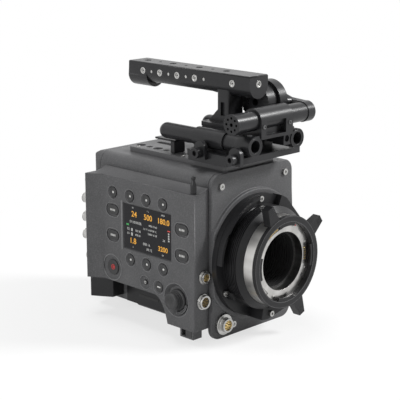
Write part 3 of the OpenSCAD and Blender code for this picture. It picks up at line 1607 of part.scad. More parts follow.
main_housing();
front_plate();
rear_cover();
base_plate();
top_plate();
right_side_panel();
connector_box();
left_side_cover();
media_door();
display_module();
display_glass();
bnc_connectors();
side_connectors();
front_connectors();
viewfinder_connector();
rear_connectors();
plate_screws();
adapter_flange();
adapter_screws();
lens_mount();
mount_contacts();
locking_ring();
throat_baffle();
nd_filter_wheel();
nd_filters();
sensor_module();
sensor_glass();
main_board();
heat_sink();
fan_frame();
fan_rotor();
tape_hook();
handle_bar();
handle_post();
handle_inserts();
vf_cradle();
cradle_bolts();
vf_rods();
rod_bridge();
cross_tube();
tube_cap();
swing_arm();
rosette_disc();
key_upper_rear();
key_upper_middle();
key_upper_front();
nd_key();
key_lower_rear();
key_lower_middle();
key_lower_front();
user_key();
clips_key();
home_key();
menu_key();
record_button();
help_key();
lock_key();
menu_dial();
power_switch();
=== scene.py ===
"""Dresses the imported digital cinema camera: skins with worked edges, procedural finishes,
the display's picture, sockets' inner parts, fasteners, studio and camera. Metres throughout."""

import json
import math

import bmesh
import bpy
from mathutils import Matrix, Vector

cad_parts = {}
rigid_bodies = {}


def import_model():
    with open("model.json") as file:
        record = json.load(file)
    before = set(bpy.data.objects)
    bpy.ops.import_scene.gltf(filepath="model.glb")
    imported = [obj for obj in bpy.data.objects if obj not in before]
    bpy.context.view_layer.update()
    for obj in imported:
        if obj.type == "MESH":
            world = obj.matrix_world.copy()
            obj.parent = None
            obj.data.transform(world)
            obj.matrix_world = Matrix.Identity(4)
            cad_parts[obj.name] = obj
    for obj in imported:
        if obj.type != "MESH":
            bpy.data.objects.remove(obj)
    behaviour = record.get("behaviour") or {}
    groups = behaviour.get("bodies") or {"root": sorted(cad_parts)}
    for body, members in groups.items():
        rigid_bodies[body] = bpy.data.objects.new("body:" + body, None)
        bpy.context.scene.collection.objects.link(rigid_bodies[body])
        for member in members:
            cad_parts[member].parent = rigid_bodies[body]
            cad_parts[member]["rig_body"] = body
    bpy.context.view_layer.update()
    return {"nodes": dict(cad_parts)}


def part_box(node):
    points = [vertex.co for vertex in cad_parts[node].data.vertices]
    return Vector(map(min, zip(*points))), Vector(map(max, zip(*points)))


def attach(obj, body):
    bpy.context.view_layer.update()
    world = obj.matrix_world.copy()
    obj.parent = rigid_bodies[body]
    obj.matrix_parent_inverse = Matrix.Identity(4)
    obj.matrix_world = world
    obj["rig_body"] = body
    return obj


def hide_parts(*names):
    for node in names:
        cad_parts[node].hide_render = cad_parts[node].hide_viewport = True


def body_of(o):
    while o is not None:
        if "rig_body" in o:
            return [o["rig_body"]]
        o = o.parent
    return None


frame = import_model()

MM = 0.001
SHARP = math.radians(38)
FLAT = math.radians(0.6)
WELD = 0.000002


# ---------------------------------------------------------------- node groups

def new_group(name, inputs, outputs):
    """A shader node group with named value inputs and outputs."""
    group = bpy.data.node_groups.new(name, "ShaderNodeTree")
    for label, kind, value in inputs:
        socket = group.interface.new_socket(label, in_out="INPUT", socket_type=kind)
        if value is not None:
            socket.default_value = value
    for label, kind in outputs:
        group.interface.new_socket(label, in_out="OUTPUT", socket_type=kind)
    return group, group.nodes.new("NodeGroupInput"), group.nodes.new("NodeGroupOutput")


def math_node(nodes, links, operation, first, second, clamp=False):
    """A Math node fed by sockets or numbers; returns its output."""
    node = nodes.new("ShaderNodeMath")
    node.operation = operation
    node.use_clamp = clamp
    for slot, value in zip(node.inputs, (first, second)):
        if isinstance(value, (int, float)):
            slot.default_value = value
        else:
            links.new(value, slot)
    return node.outputs[0]


def noise_node(nodes, links, vector, scale, detail, rough=0.5):
    """A Noise texture on a vector; returns its value."""
    node = nodes.new("ShaderNodeTexNoise")
    node.inputs["Detail"].default_value = detail
    node.inputs["Roughness"].default_value = rough
    links.new(vector, node.inputs["Vector"])
    if isinstance(scale, (int, float)):
        node.inputs["Scale"].default_value = scale
    else:
        links.new(scale, node.inputs["Scale"])
    return node.outputs["Fac"]


def make_grain():
    """Fine grain of a painted or blasted surface: a height and a speckle mask."""
    group, start, end = new_group(
        "fine grain",
        [("Vector", "NodeSocketVector", None), ("Scale", "NodeSocketFloat", 2200.0)],
        [("Height", "NodeSocketFloat"), ("Speckle", "NodeSocketFloat")])
    nodes, links = group.nodes, group.links
    fine = noise_node(nodes, links, start.outputs["Vector"], start.outputs["Scale"], 2.0)
    cells = nodes.new("ShaderNodeTexVoronoi")
    links.new(start.outputs["Vector"], cells.inputs["Vector"])
    links.new(math_node(nodes, links, "MULTIPLY", start.outputs["Scale"], 0.6),
              cells.inputs["Scale"])
    height = math_node(nodes, links, "ADD", fine,
                       math_node(nodes, links, "MULTIPLY", cells.outputs["Distance"], 0.6))
    links.new(height, end.inputs["Height"])
    speckle = math_node(nodes, links, "SUBTRACT", cells.outputs["Distance"], 0.35, True)
    links.new(speckle, end.inputs["Speckle"])
    return group


def make_handling():
    """Broad, soft patches where hands and cases have dulled a surface."""
    group, start, end = new_group(
        "handling marks",
        [("Vector", "NodeSocketVector", None), ("Scale", "NodeSocketFloat", 30.0)],
        [("Patches", "NodeSocketFloat"), ("Scuffs", "NodeSocketFloat")])
    nodes, links = group.nodes, group.links
    broad = noise_node(nodes, links, start.outputs["Vector"], start.outputs["Scale"], 4.0, 0.6)
    links.new(broad, end.inputs["Patches"])
    long_way = nodes.new("ShaderNodeMapping")
    long_way.inputs["Scale"].default_value = (1.0, 0.12, 1.6)
    long_way.inputs["Rotation"].default_value = (0.3, 0.5, 0.2)
    links.new(start.outputs["Vector"], long_way.inputs["Vector"])
    lines = noise_node(nodes, links, long_way.outputs["Vector"],
                       math_node(nodes, links, "MULTIPLY", start.outputs["Scale"], 12.0), 3.0, 0.7)
    scuffs = math_node(nodes, links, "MULTIPLY",
                       math_node(nodes, links, "SUBTRACT", lines, 0.62, True), 4.0, True)
    links.new(scuffs, end.inputs["Scuffs"])
    return group


def make_turning_and_sheen():
    """Fine turning lines round the lens axis, for lathe-cut rings, and a painted sheen: broad
    lighter and darker sectors round the axis.
    """
    group, start, end = new_group(
        "turning lines and painted sheen",
        [("Vector", "NodeSocketVector", None), ("Centre", "NodeSocketVector", (0, 0, 0)),
         ("Scale", "NodeSocketFloat", 3000.0)],
        [("Height", "NodeSocketFloat"), ("Streaks", "NodeSocketFloat")])
    nodes, links = group.nodes, group.links
    shift = nodes.new("ShaderNodeVectorMath")
    shift.operation = "SUBTRACT"
    links.new(start.outputs["Vector"], shift.inputs[0])
    links.new(start.outputs["Centre"], shift.inputs[1])
    parts = nodes.new("ShaderNodeSeparateXYZ")
    links.new(shift.outputs[0], parts.inputs[0])
    squares = math_node(nodes, links, "ADD",
                        math_node(nodes, links, "MULTIPLY", parts.outputs["X"], parts.outputs["X"]),
                        math_node(nodes, links, "MULTIPLY", parts.outputs["Z"], parts.outputs["Z"]))
    radius = math_node(nodes, links, "SQRT", squares, 0.0)
    along = nodes.new("ShaderNodeCombineXYZ")
    links.new(radius, along.inputs["X"])
    links.new(parts.outputs["Y"], along.inputs["Y"])
    lines = noise_node(nodes, links, along.outputs[0], start.outputs["Scale"], 2.0, 0.6)
    links.new(lines, end.inputs["Height"])
    # The painted sheen: noise on twice the angle round the axis, for lighter and darker sectors.
    angle = nodes.new("ShaderNodeMath")
    angle.operation = "ARCTAN2"
    links.new(parts.outputs["Z"], angle.inputs[0])
    links.new(parts.outputs["X"], angle.inputs[1])
    round_way = nodes.new("ShaderNodeCombineXYZ")
    links.new(math_node(nodes, links, "COSINE", math_node(
        nodes, links, "MULTIPLY", angle.outputs[0], 2.0), 0.0), round_way.inputs["X"])
    links.new(math_node(nodes, links, "SINE", math_node(
        nodes, links, "MULTIPLY", angle.outputs[0], 2.0), 0.0), round_way.inputs["Y"])
    links.new(noise_node(nodes, links, round_way.outputs[0], 1.6, 2.0), end.inputs["Streaks"])
    return group


GRAIN = make_grain()
HANDLING = make_handling()
TURNED = make_turning_and_sheen()


# ---------------------------------------------------------------- materials

# Texture scales per metre of the grain and the patches, bump strengths and depths in metres
COAT_PATCH_SCALE, COAT_BUMP = 28.0, 0.5
WORN_GAIN, WORN_LIFT = 1.7, 0.02
TURNED_LINE_SCALE, TURNED_PATCH_SCALE, TURNED_BUMP = 2600.0, 60.0, 0.35
PLATED_PATCH_SCALE = 160.0
TURNED_SPREAD, PLATED_SPREAD, PLASTIC_SPREAD, GLASS_SPREAD = 0.2, 0.15, 0.18, 0.06
PLASTIC_GRAIN_SCALE, PLASTIC_PATCH_SCALE = 4000.0, 50.0
PLASTIC_BUMP, PLASTIC_GRAIN_DEPTH = 0.4, 0.00002
PRINT_GRAIN_SCALE = 5000.0
GLASS_PATCH_SCALE, GLASS_SPECULAR = 90.0, 0.2


def start_material(name):
    """A material with its Principled shader and the object's own coordinates."""
    material = bpy.data.materials.new(name)
    material.use_nodes = True
    nodes, links = material.node_tree.nodes, material.node_tree.links
    shader = nodes["Principled BSDF"]
    place = nodes.new("ShaderNodeTexCoord").outputs["Object"]
    return material, nodes, links, shader, place


def use_group(nodes, links, group, vector, **values):
    """Places a node group, feeds it the vector and sets its values."""
    node = nodes.new("ShaderNodeGroup")
    node.node_tree = group
    links.new(vector, node.inputs["Vector"])
    for key, value in values.items():
        node.inputs[key].default_value = value
    return node


def mix_colour(nodes, links, factor, first, second):
    """Mixes two colours by a factor; each may be a colour or a socket."""
    node = nodes.new("ShaderNodeMix")
    node.data_type = "RGBA"
    links.new(factor, node.inputs[0])
    for slot, value in ((node.inputs[6], first), (node.inputs[7], second)):
        if isinstance(value, tuple):
            slot.default_value = value + (1.0,)
        else:
            links.new(value, slot)
    return node.outputs[2]


def add_bump(nodes, links, shader, height, strength, distance):
    """Feeds a height to the shader's normal."""
    bump = nodes.new("ShaderNodeBump")
    bump.inputs["Strength"].default_value = strength
    bump.inputs["Distance"].default_value = distance
    links.new(height, bump.inputs["Height"])
    links.new(bump.outputs["Normal"], shader.inputs["Normal"])


def feed_roughness(nodes, links, shader, mask, base, spread):
    """Feeds the shader a roughness that grows from a base with a mask."""
    spreading = math_node(nodes, links, "MULTIPLY", mask, spread)
    links.new(math_node(nodes, links, "ADD", base, spreading), shader.inputs["Roughness"])


def coated_metal(name, dark, light, rough, spread, grain_scale, depth, gloss, scuff=0.15):
    """Paint or anodising: grain in the surface, speckle, patches and scuffs."""
    material, nodes, links, shader, place = start_material(name)
    grain = use_group(nodes, links, GRAIN, place, Scale=grain_scale)
    marks = use_group(nodes, links, HANDLING, place, Scale=COAT_PATCH_SCALE)
    tone = math_node(nodes, links, "ADD",
                     math_node(nodes, links, "MULTIPLY", marks.outputs["Patches"], 0.6),
                     math_node(nodes, links, "MULTIPLY", grain.outputs["Speckle"], 0.8), True)
    colour = mix_colour(nodes, links, tone, dark, light)
    worn = tuple(min(1.0, c * WORN_GAIN + WORN_LIFT) for c in light)
    scuffed = math_node(nodes, links, "MULTIPLY", marks.outputs["Scuffs"], scuff)
    links.new(mix_colour(nodes, links, scuffed, colour, worn), shader.inputs["Base Color"])
    feed_roughness(nodes, links, shader, marks.outputs["Patches"], rough - spread / 2, spread)
    shader.inputs["Specular IOR Level"].default_value = gloss
    add_bump(nodes, links, shader, grain.outputs["Height"], COAT_BUMP, depth)
    return material


def turned_metal(name, dark, light, rough, centre, depth):
    """Bare metal cut on a lathe: turning rings, a few scuffs, and a painted sheen that lightens and
    darkens its colour round the axis.
    """
    material, nodes, links, shader, place = start_material(name)
    lines = use_group(nodes, links, TURNED, place, Centre=centre, Scale=TURNED_LINE_SCALE)
    marks = use_group(nodes, links, HANDLING, place, Scale=TURNED_PATCH_SCALE)
    # The colour is mostly the painted sheen round the axis, with a little of the turning lines.
    tone = math_node(nodes, links, "ADD",
                     math_node(nodes, links, "MULTIPLY", lines.outputs["Streaks"], 0.9),
                     math_node(nodes, links, "MULTIPLY", lines.outputs["Height"], 0.25), True)
    links.new(mix_colour(nodes, links, tone, dark, light), shader.inputs["Base Color"])
    feed_roughness(nodes, links, shader, marks.outputs["Scuffs"], rough, TURNED_SPREAD)
    shader.inputs["Metallic"].default_value = 1.0
    add_bump(nodes, links, shader, lines.outputs["Height"], TURNED_BUMP, depth)
    return material


def plated(name, dark, light, rough):
    """Plated or machined small parts."""
    material, nodes, links, shader, place = start_material(name)
    marks = use_group(nodes, links, HANDLING, place, Scale=PLATED_PATCH_SCALE)
    links.new(mix_colour(nodes, links, marks.outputs["Patches"], dark, light),
              shader.inputs["Base Color"])
    feed_roughness(nodes, links, shader, marks.outputs["Patches"], rough, PLATED_SPREAD)
    shader.inputs["Metallic"].default_value = 1.0
    return material


def moulded(name, dark, light, rough):
    """Moulded plastic or rubber with a fine texture."""
    material, nodes, links, shader, place = start_material(name)
    grain = use_group(nodes, links, GRAIN, place, Scale=PLASTIC_GRAIN_SCALE)
    marks = use_group(nodes, links, HANDLING, place, Scale=PLASTIC_PATCH_SCALE)
    links.new(mix_colour(nodes, links, marks.outputs["Patches"], dark, light),
              shader.inputs["Base Color"])
    feed_roughness(nodes, links, shader, marks.outputs["Patches"], rough, PLASTIC_SPREAD)
    add_bump(nodes, links, shader, grain.outputs["Height"], PLASTIC_BUMP, PLASTIC_GRAIN_DEPTH)
    return material


def printed(name, colour, rough=0.5, glow=0.0):
    """Printed or engraved and filled marks, and the display's lit signs."""
    material, nodes, links, shader, place = start_material(name)
    grain = use_group(nodes, links, GRAIN, place, Scale=PRINT_GRAIN_SCALE)
    darker = tuple(c * 0.8 for c in colour)
    mixed = mix_colour(nodes, links, grain.outputs["Speckle"], colour, darker)
    links.new(mixed, shader.inputs["Base Color"])
    shader.inputs["Roughness"].default_value = rough
    if glow:
        links.new(mixed, shader.inputs["Emission Color"])
        shader.inputs["Emission Strength"].default_value = glow
    return material


def clear_glass(name, tint, rough=0.05):
    """Thin glass of a window or filter."""
    material, nodes, links, shader, place = start_material(name)
    marks = use_group(nodes, links, HANDLING, place, Scale=GLASS_PATCH_SCALE)
    shader.inputs["Base Color"].default_value = tint + (1.0,)
    feed_roughness(nodes, links, shader, marks.outputs["Scuffs"], rough, GLASS_SPREAD)
    shader.inputs["Specular IOR Level"].default_value = GLASS_SPECULAR
    return material


LENS_CENTRE = (0.0, -0.1, 0.0729)
BODY_PAINT = coated_metal("body paint", (0.06, 0.06, 0.062), (0.118, 0.118, 0.121),
                          0.44, 0.1, 1300.0, 0.00009, 0.26)
# A lighter paint for the rims of recesses and edges: a painted highlight.
RIM_HIGHLIGHT = coated_metal("painted rim highlight", (0.13, 0.13, 0.133), (0.2, 0.2, 0.205),
                         0.4, 0.1, 1300.0, 0.00003, 0.4)
BLACK_METAL = coated_metal("black anodised metal", (0.009, 0.009, 0.0098), (0.026, 0.026, 0.028),
                           0.3, 0.12, 3200.0, 0.00002, 0.3, 0.2)
GREY_METAL = coated_metal("grey anodised metal", (0.075, 0.075, 0.077), (0.12, 0.12, 0.123),
                          0.44, 0.12, 2400.0, 0.00003, 0.4, 0.2)
ADAPTER_BLACK = coated_metal("adapter black", (0.007, 0.007, 0.008), (0.017, 0.017, 0.018),
                             0.38, 0.12, 3600.0, 0.00002, 0.25, 0.15)
THROAT_BLACK = moulded("throat black", (0.004, 0.004, 0.004), (0.012, 0.012, 0.012), 0.55)
# Its colour carries a painted sheen round the lens axis.
STEEL = turned_metal("turned steel", (0.2, 0.197, 0.19), (0.74, 0.73, 0.71), 0.28,
                     LENS_CENTRE, 0.000004)
PLATED = plated("plated metal", (0.28, 0.278, 0.27), (0.66, 0.655, 0.64), 0.2)
GOLD = plated("gold contacts", (0.7, 0.48, 0.16), (0.9, 0.68, 0.3), 0.2)
DARK_GOLD = plated("dark gold insert", (0.12, 0.085, 0.035), (0.2, 0.15, 0.07), 0.35)
KEY_PLASTIC = moulded("key plastic", (0.012, 0.012, 0.0125), (0.024, 0.024, 0.025), 0.36)
BLACK_PLASTIC = moulded("black plastic", (0.018, 0.018, 0.019), (0.04, 0.04, 0.042), 0.4)
DIAL_RUBBER = moulded("dial rubber", (0.015, 0.015, 0.016), (0.035, 0.035, 0.036), 0.5)
BOARD = moulded("board green", (0.01, 0.06, 0.025), (0.02, 0.11, 0.045), 0.4)
SINK = plated("cast sink", (0.3, 0.3, 0.31), (0.48, 0.48, 0.5), 0.42)
WINDOW = clear_glass("display window", (0.008, 0.008, 0.01))
FILTER = clear_glass("filter glass", (0.03, 0.032, 0.036), 0.03)
DISPLAY_ORANGE = printed("display orange", (0.62, 0.3, 0.03), 0.5, 0.45)
DISPLAY_WHITE = printed("display white", (0.4, 0.4, 0.39), 0.5, 0.25)
DISPLAY_RED = printed("display red", (0.5, 0.05, 0.04), 0.5, 0.3)
DISPLAY_GREEN = printed("display green", (0.04, 0.3, 0.08), 0.5, 0.2)
DISPLAY_CELL = printed("display cell", (0.006, 0.007, 0.01), 0.5)
WHITE_PAINT = printed("white marking", (0.62, 0.62, 0.6), 0.5)
RED_PAINT = printed("red marking", (0.5, 0.03, 0.03), 0.45)


# ---------------------------------------------------------------- skins of the CAD nodes

NODE_FINISH = {
    # node: (material, record slot, edge width in mm)
    "main_housing": (BODY_PAINT, "body_paint", 0.6),
    "front_plate": (BODY_PAINT, "body_paint", 1.1),
    "rear_cover": (BODY_PAINT, "body_paint", 0.6),
    "right_side_panel": (BODY_PAINT, "body_paint", 1.1),
    "left_side_cover": (BODY_PAINT, "body_paint", 0.7),
    "media_door": (BODY_PAINT, "body_paint", 0.4),
    "base_plate": (ADAPTER_BLACK, "black_metal", 0.6),
    "top_plate": (GREY_METAL, "black_metal", 0.5),
    "connector_box": (BLACK_METAL, "black_metal", 0.6),
    "adapter_flange": (ADAPTER_BLACK, "black_metal", 0.3),
    "locking_ring": (ADAPTER_BLACK, "black_metal", 0.5),
    "lens_mount": (STEEL, "steel", 0.25),
    "throat_baffle": (THROAT_BLACK, "black_plastic", 0.0),
    "handle_bar": (BLACK_METAL, "black_metal", 1.3),
    "handle_post": (BLACK_METAL, "black_metal", 0.6),
    "vf_cradle": (BLACK_METAL, "black_metal", 0.5),
    "vf_rods": (BLACK_METAL, "black_metal", 0.4),
    "rod_bridge": (BLACK_METAL, "black_metal", 0.5),
    "cross_tube": (BLACK_METAL, "black_metal", 0.0),
    "tube_cap": (BLACK_METAL, "black_metal", 0.5),
    "swing_arm": (BLACK_METAL, "black_metal", 0.5),
    "rosette_disc": (BLACK_METAL, "black_metal", 0.3),
    "power_switch": (BLACK_PLASTIC, "black_plastic", 0.3),
    "tape_hook": (BLACK_METAL, "black_metal", 0.3),
    "display_module": (BLACK_PLASTIC, "black_plastic", 0.25),
    "cradle_bolts": (BLACK_METAL, "black_metal", 0.4),
    "plate_screws": (PLATED, "steel", 0.3),
    "adapter_screws": (PLATED, "steel", 0.3),
    "handle_inserts": (PLATED, "steel", 0.25),
    "bnc_connectors": (PLATED, "plated", 0.3),
    "side_connectors": (PLATED, "plated", 0.3),
    "front_connectors": (PLATED, "plated", 0.3),
    "viewfinder_connector": (PLATED, "plated", 0.4),
    "rear_connectors": (PLATED, "plated", 0.3),
    "nd_filter_wheel": (BLACK_PLASTIC, "black_plastic", 0.0),
    "fan_frame": (BLACK_PLASTIC, "black_plastic", 0.0),
    "fan_rotor": (BLACK_PLASTIC, "black_plastic", 0.0),
    "heat_sink": (SINK, "sink", 0.0),
    "main_board": (BOARD, "board", 0.0),
    "sensor_module": (BOARD, "board", 0.0),
    "mount_contacts": (GOLD, "contacts", 0.0),
    "display_glass": (WINDOW, "window", 0.0),
    "sensor_glass": (WINDOW, "window", 0.0),
    "nd_filters": (FILTER, "filter_glass", 0.0),
}
ROUND_KEYS = ("key_upper_rear", "key_upper_middle", "key_upper_front", "nd_key",
              "key_lower_rear", "key_lower_middle", "key_lower_front",
              "record_button", "help_key", "lock_key")
PILL_KEYS = ("user_key", "clips_key", "home_key", "menu_key")
for key in PILL_KEYS:
    NODE_FINISH[key] = (KEY_PLASTIC, "key_plastic", 0.9)


EDGE_STEPS, LONG_EDGE_STEPS = 2, 3
# Nodes whose long edges alone are rounded, with the least length of such an edge
LONG_EDGE_MM = {"handle_bar": 12.0, "right_side_panel": 90.0, "front_plate": 0.62,
                "base_plate": 2.0, "top_plate": 2.0, "connector_box": 2.0}


def body_name(node):
    """The body that a CAD node rides on."""
    found = body_of(frame["nodes"][node])
    return found[0] if isinstance(found, (list, tuple)) else found


def set_edges(bm):
    """Smooth faces, with the sharp edges kept."""
    for face in bm.faces:
        face.smooth = True
    for edge in bm.edges:
        edge.smooth = edge.calc_face_angle(0.0) < SHARP


def finish_object(name, bm, material):
    """Makes an object of a bmesh, shown with one material."""
    mesh = bpy.data.meshes.new(name)
    bm.to_mesh(mesh)
    bm.free()
    mesh.materials.append(material)
    piece = bpy.data.objects.new(name, mesh)
    bpy.context.scene.collection.objects.link(piece)
    return piece


def bevel_edges(piece, width, weighted=False):
    """Rounds a piece's sharp edges, or the weighted ones, by a live Bevel."""
    bevel = piece.modifiers.new("worked edges", "BEVEL")
    bevel.width = width
    bevel.segments = LONG_EDGE_STEPS if weighted else EDGE_STEPS
    bevel.limit_method = "WEIGHT" if weighted else "ANGLE"
    bevel.angle_limit = SHARP
    bevel.harden_normals = True
    bevel.use_clamp_overlap = not weighted


def weigh_edges(bm, shortest):
    """Weighs the sharp edges that are longer than the sides of small holes."""
    weights = bm.edges.layers.float.new("bevel_weight_edge")
    for edge in bm.edges:
        if edge.calc_face_angle(0.0) >= SHARP and edge.calc_length() > shortest:
            edge[weights] = 1.0


def skin(node, material, width_mm):
    """A merged copy of a CAD node with worked edges stands for the node."""
    source = frame["nodes"][node]
    bm = bmesh.new()
    bm.from_mesh(source.data)
    bmesh.ops.remove_doubles(bm, verts=bm.verts, dist=WELD)
    bmesh.ops.dissolve_limit(bm, angle_limit=FLAT, verts=bm.verts, edges=bm.edges)
    set_edges(bm)
    weighted = node in LONG_EDGE_MM
    if weighted:
        weigh_edges(bm, LONG_EDGE_MM[node] * MM)
    piece = finish_object(node + "_skin", bm, material)
    bevel_edges(piece, width_mm * MM, weighted)
    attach(piece, body_name(node))
    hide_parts(node)


def finish_node(node, material):
    """A CAD node whose shape is right gets its material."""
    source = frame["nodes"][node]
    if not source.material_slots:
        source.data.materials.append(material)
    for place in source.material_slots:
        place.material = material


for node, (material, slot, width) in NODE_FINISH.items():
    if width > 0:
        skin(node, material, width)
    else:
        finish_node(node, material)


# ---------------------------------------------------------------- small pieces

def place_piece(name, bm, material, body, edge=0.0):
    """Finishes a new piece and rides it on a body."""
    bmesh.ops.recalc_face_normals(bm, faces=bm.faces)
    set_edges(bm)
    piece = finish_object(name, bm, material)
    if edge:
        bevel_edges(piece, edge * MM)
    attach(piece, body)
    return piece


def add_bar(bm, centre, size):
    """Adds a block with its centre and size in millimetres to a bmesh."""
    made = bmesh.ops.create_cube(bm, size=1.0)
    bmesh.ops.scale(bm, vec=Vector(size) * MM, verts=made["verts"])
    bmesh.ops.translate(bm, vec=Vector(centre) * MM, verts=made["verts"])


def add_rod(bm, centre, radius, length, turn, segments):
    """Adds a rod about its centre, in millimetres."""
    bmesh.ops.create_cone(bm, cap_ends=True, segments=segments, radius1=radius * MM,
                          radius2=radius * MM, depth=length * MM,
                          matrix=Matrix.Translation(Vector(centre) * MM) @ turn)


FACING_UP = Matrix.Identity(4)
FACING_LEFT = Matrix.Rotation(math.radians(-90), 4, "Y")
FACING_RIGHT = Matrix.Rotation(math.radians(90), 4, "Y")
FACING_FRONT = Matrix.Rotation(math.radians(90), 4, "X")
FACING_REAR = Matrix.Rotation(math.radians(-90), 4, "X")
TRIPOD_Y = 62.0
PANEL_X = -72.0
PICTURE_X = PANEL_X + 0.33
NUMBER_THICK = 0.04
PANEL_END_Y = 140.0
AXIS_Z = 72.9


def from_plate(y):
    """Turns a distance behind the front plate's face into the frame's Y, in millimetres."""
    return y - TRIPOD_Y


def node_span(node):
    """A CAD node's low and high corners, in millimetres."""
    return tuple(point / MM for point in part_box(node))


def node_middle(node):
    """A CAD node's middle in Y and Z, in millimetres."""
    low, high = node_span(node)
    return (low.y + high.y) / 2, (low.z + high.z) / 2


def number(text, size_mm, y, z, material, name, bolder):
    """A plain number on the display, a thin raised form facing the left."""
    curve = bpy.data.curves.new(name, "FONT")
    curve.body = text
    curve.size = size_mm * MM
    curve.align_x = "CENTER"
    curve.align_y = "CENTER"
    curve.extrude = NUMBER_THICK * MM
    curve.offset = bolder * MM
    holder = bpy.data.objects.new(name, curve)
    bpy.context.scene.collection.objects.link(holder)
    depsgraph = bpy.context.evaluated_depsgraph_get()
    mesh = bpy.data.meshes.new_from_object(holder.evaluated_get(depsgraph))
    bpy.data.objects.remove(holder)
    # Text reads along -Y when it is seen from the left
    facing = Matrix(((0, 0, -1, 0), (-1, 0, 0, 0), (0, 1, 0, 0), (0, 0, 0, 1)))
    mesh.transform(Matrix.Translation(Vector((PICTURE_X, from_plate(y), z)) * MM) @ facing)
    mesh.materials.clear()
    mesh.materials.append(material)
    piece = bpy.data.objects.new(name, mesh)
    bpy.context.scene.collection.objects.link(piece)
    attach(piece, "camera")


# Places on the display: Y behind the front plate's face and Z, in millimetres
DISPLAY_Z = 94.7
CELL_EDGES_Y = (95.7, 73.4, 54.2, 34.5)
CELL_ROWS_Z = ((102.4, 115.6), (74.2, 85.4))
CELL_GAP, CELL_BEHIND, MARK_THICK = 1.0, 0.12, 0.06
STRIP_Y = 36.6
BOLD_NUMBER, PLAIN_NUMBER = 0.09, 0.02
# Each number: text, size, Y, Z
BIG_NUMBERS = (("24", 7.4, 82.4, 107.4), ("500", 7.4, 63.8, 107.4), ("180.0", 7.2, 43.6, 107.4),
               ("1.8", 7.4, 84.4, 81.6), ("3200", 6.4, 44.4, 81.4))
SMALL_NUMBERS = (("00", 2.0, 84.0, 113.4), ("1 2", 2.0, 64.0, 113.4), ("000.0", 2.0, 44.0, 113.4),
                 ("01:10:08:06", 3.4, 80.5, 100.0), ("4096 2160", 2.6, 57.5, 100.4),
                 ("16 17 24 09 08 12", 2.4, 61.5, 96.2), ("02", 3.4, 90.4, 92.4),
                 ("100 00", 2.8, 77.6, 92.4), ("5600 16 38", 2.6, 58.0, 92.4),
                 ("01", 3.0, 90.4, 88.2), ("098 00", 2.6, 77.6, 88.2), ("24", 3.2, 43.0, 90.0),
                 ("800 16", 3.4, 66.0, 81.8), ("09.12", 3.4, 62.4, 77.2), ("0", 2.0, 84.4, 76.0),
                 ("00", 2.0, 44.4, 76.0))
for count, (text, size, y, z) in enumerate(BIG_NUMBERS):
    number(text, size, y, z, DISPLAY_ORANGE, "display_number_%d" % (count + 1), BOLD_NUMBER)
for count, (text, size, y, z) in enumerate(SMALL_NUMBERS):
    number(text, size, y, z, DISPLAY_WHITE, "display_small_number_%d" % (count + 1),
           PLAIN_NUMBER)


# Coloured marks: piece, finish, and each mark's Y, Z, width and height
DISPLAY_MARKS = (
    ("display_marks_white", DISPLAY_WHITE,
     [(85.6, z, 2.0, 2.9) for z in (92.4, 88.2)]
     + [(STRIP_Y, z, 1.8, 1.5) for z in (97.6, 95.4, 93.2, 91.0)]),
    ("display_mark_red", DISPLAY_RED, [(STRIP_Y, 100.2, 3.4, 0.9)]),
    ("display_mark_green", DISPLAY_GREEN, [(91.4, 96.6, 3.4, 1.7)]))


def display_cells():
    """The display's darker cells and its small coloured marks."""
    cells = bmesh.new()
    for low, high in CELL_ROWS_Z:
        for rear, front in zip(CELL_EDGES_Y[:-1], CELL_EDGES_Y[1:]):
            add_bar(cells, (PICTURE_X + CELL_BEHIND, from_plate((rear + front) / 2),
                            (low + high) / 2),
                    (MARK_THICK, rear - front - CELL_GAP, high - low))
    place_piece("display_cells", cells, DISPLAY_CELL, "camera")
    for name, finish, marks in DISPLAY_MARKS:
        bm = bmesh.new()
        for y, z, width, height in marks:
            add_bar(bm, (PICTURE_X, from_plate(y), z), (MARK_THICK, width, height))
        place_piece(name, bm, finish, "camera")


display_cells()


# ---------------------------------------------------------------- keys and dial

LATHE_STEPS, LATHE_WELD = 40, 0.000001
ROUND_END_STEPS = 16


def dot_ring(bm, centre, radius, width, turn, thick, segments=40):
    """Adds a thin flat ring: a printed mark, part of a nut or seat, or a lighter band of painted
    highlight on an edge.
    """
    start = bmesh.ops.create_circle(bm, cap_ends=False, radius=(radius - width) * MM,
                                    segments=segments)
    edges = list({edge for vert in start["verts"] for edge in vert.link_edges})
    made = bmesh.ops.extrude_edge_only(bm, edges=edges)
    outer = [item for item in made["geom"] if isinstance(item, bmesh.types.BMVert)]
    bmesh.ops.scale(bm, vec=(radius / (radius - width), radius / (radius - width), 1.0),
                    verts=outer)
    verts = start["verts"] + outer
    faces = list({face for vert in verts for face in vert.link_faces})
    raised = bmesh.ops.extrude_face_region(bm, geom=faces)
    top = [item for item in raised["geom"] if isinstance(item, bmesh.types.BMVert)]
    bmesh.ops.translate(bm, vec=(0, 0, thick * MM), verts=top)
    bmesh.ops.transform(bm, matrix=Matrix.Translation(Vector(centre) * MM) @ turn,
                        verts=verts + top)


def add_lathe(bm, centre, turn, profile):
    """Adds a turned form: profile pairs of radius and height, in millimetres, about its axis."""
    verts = [bm.verts.new((radius * MM, 0.0, height * MM)) for radius, height in profile]
    edges = [bm.edges.new(pair) for pair in zip(verts[:-1], verts[1:])]
    before = set(bm.verts) - set(verts)
    bmesh.ops.spin(bm, geom=verts + edges, cent=(0, 0, 0), axis=(0, 0, 1),
                   steps=LATHE_STEPS, angle=2 * math.pi, use_merge=True)
    made = [vert for vert in bm.verts if vert not in before]
    bmesh.ops.remove_doubles(bm, verts=made, dist=LATHE_WELD)
    made = [vert for vert in bm.verts if vert not in before]
    bmesh.ops.transform(bm, matrix=Matrix.Translation(Vector(centre) * MM) @ turn, verts=made)


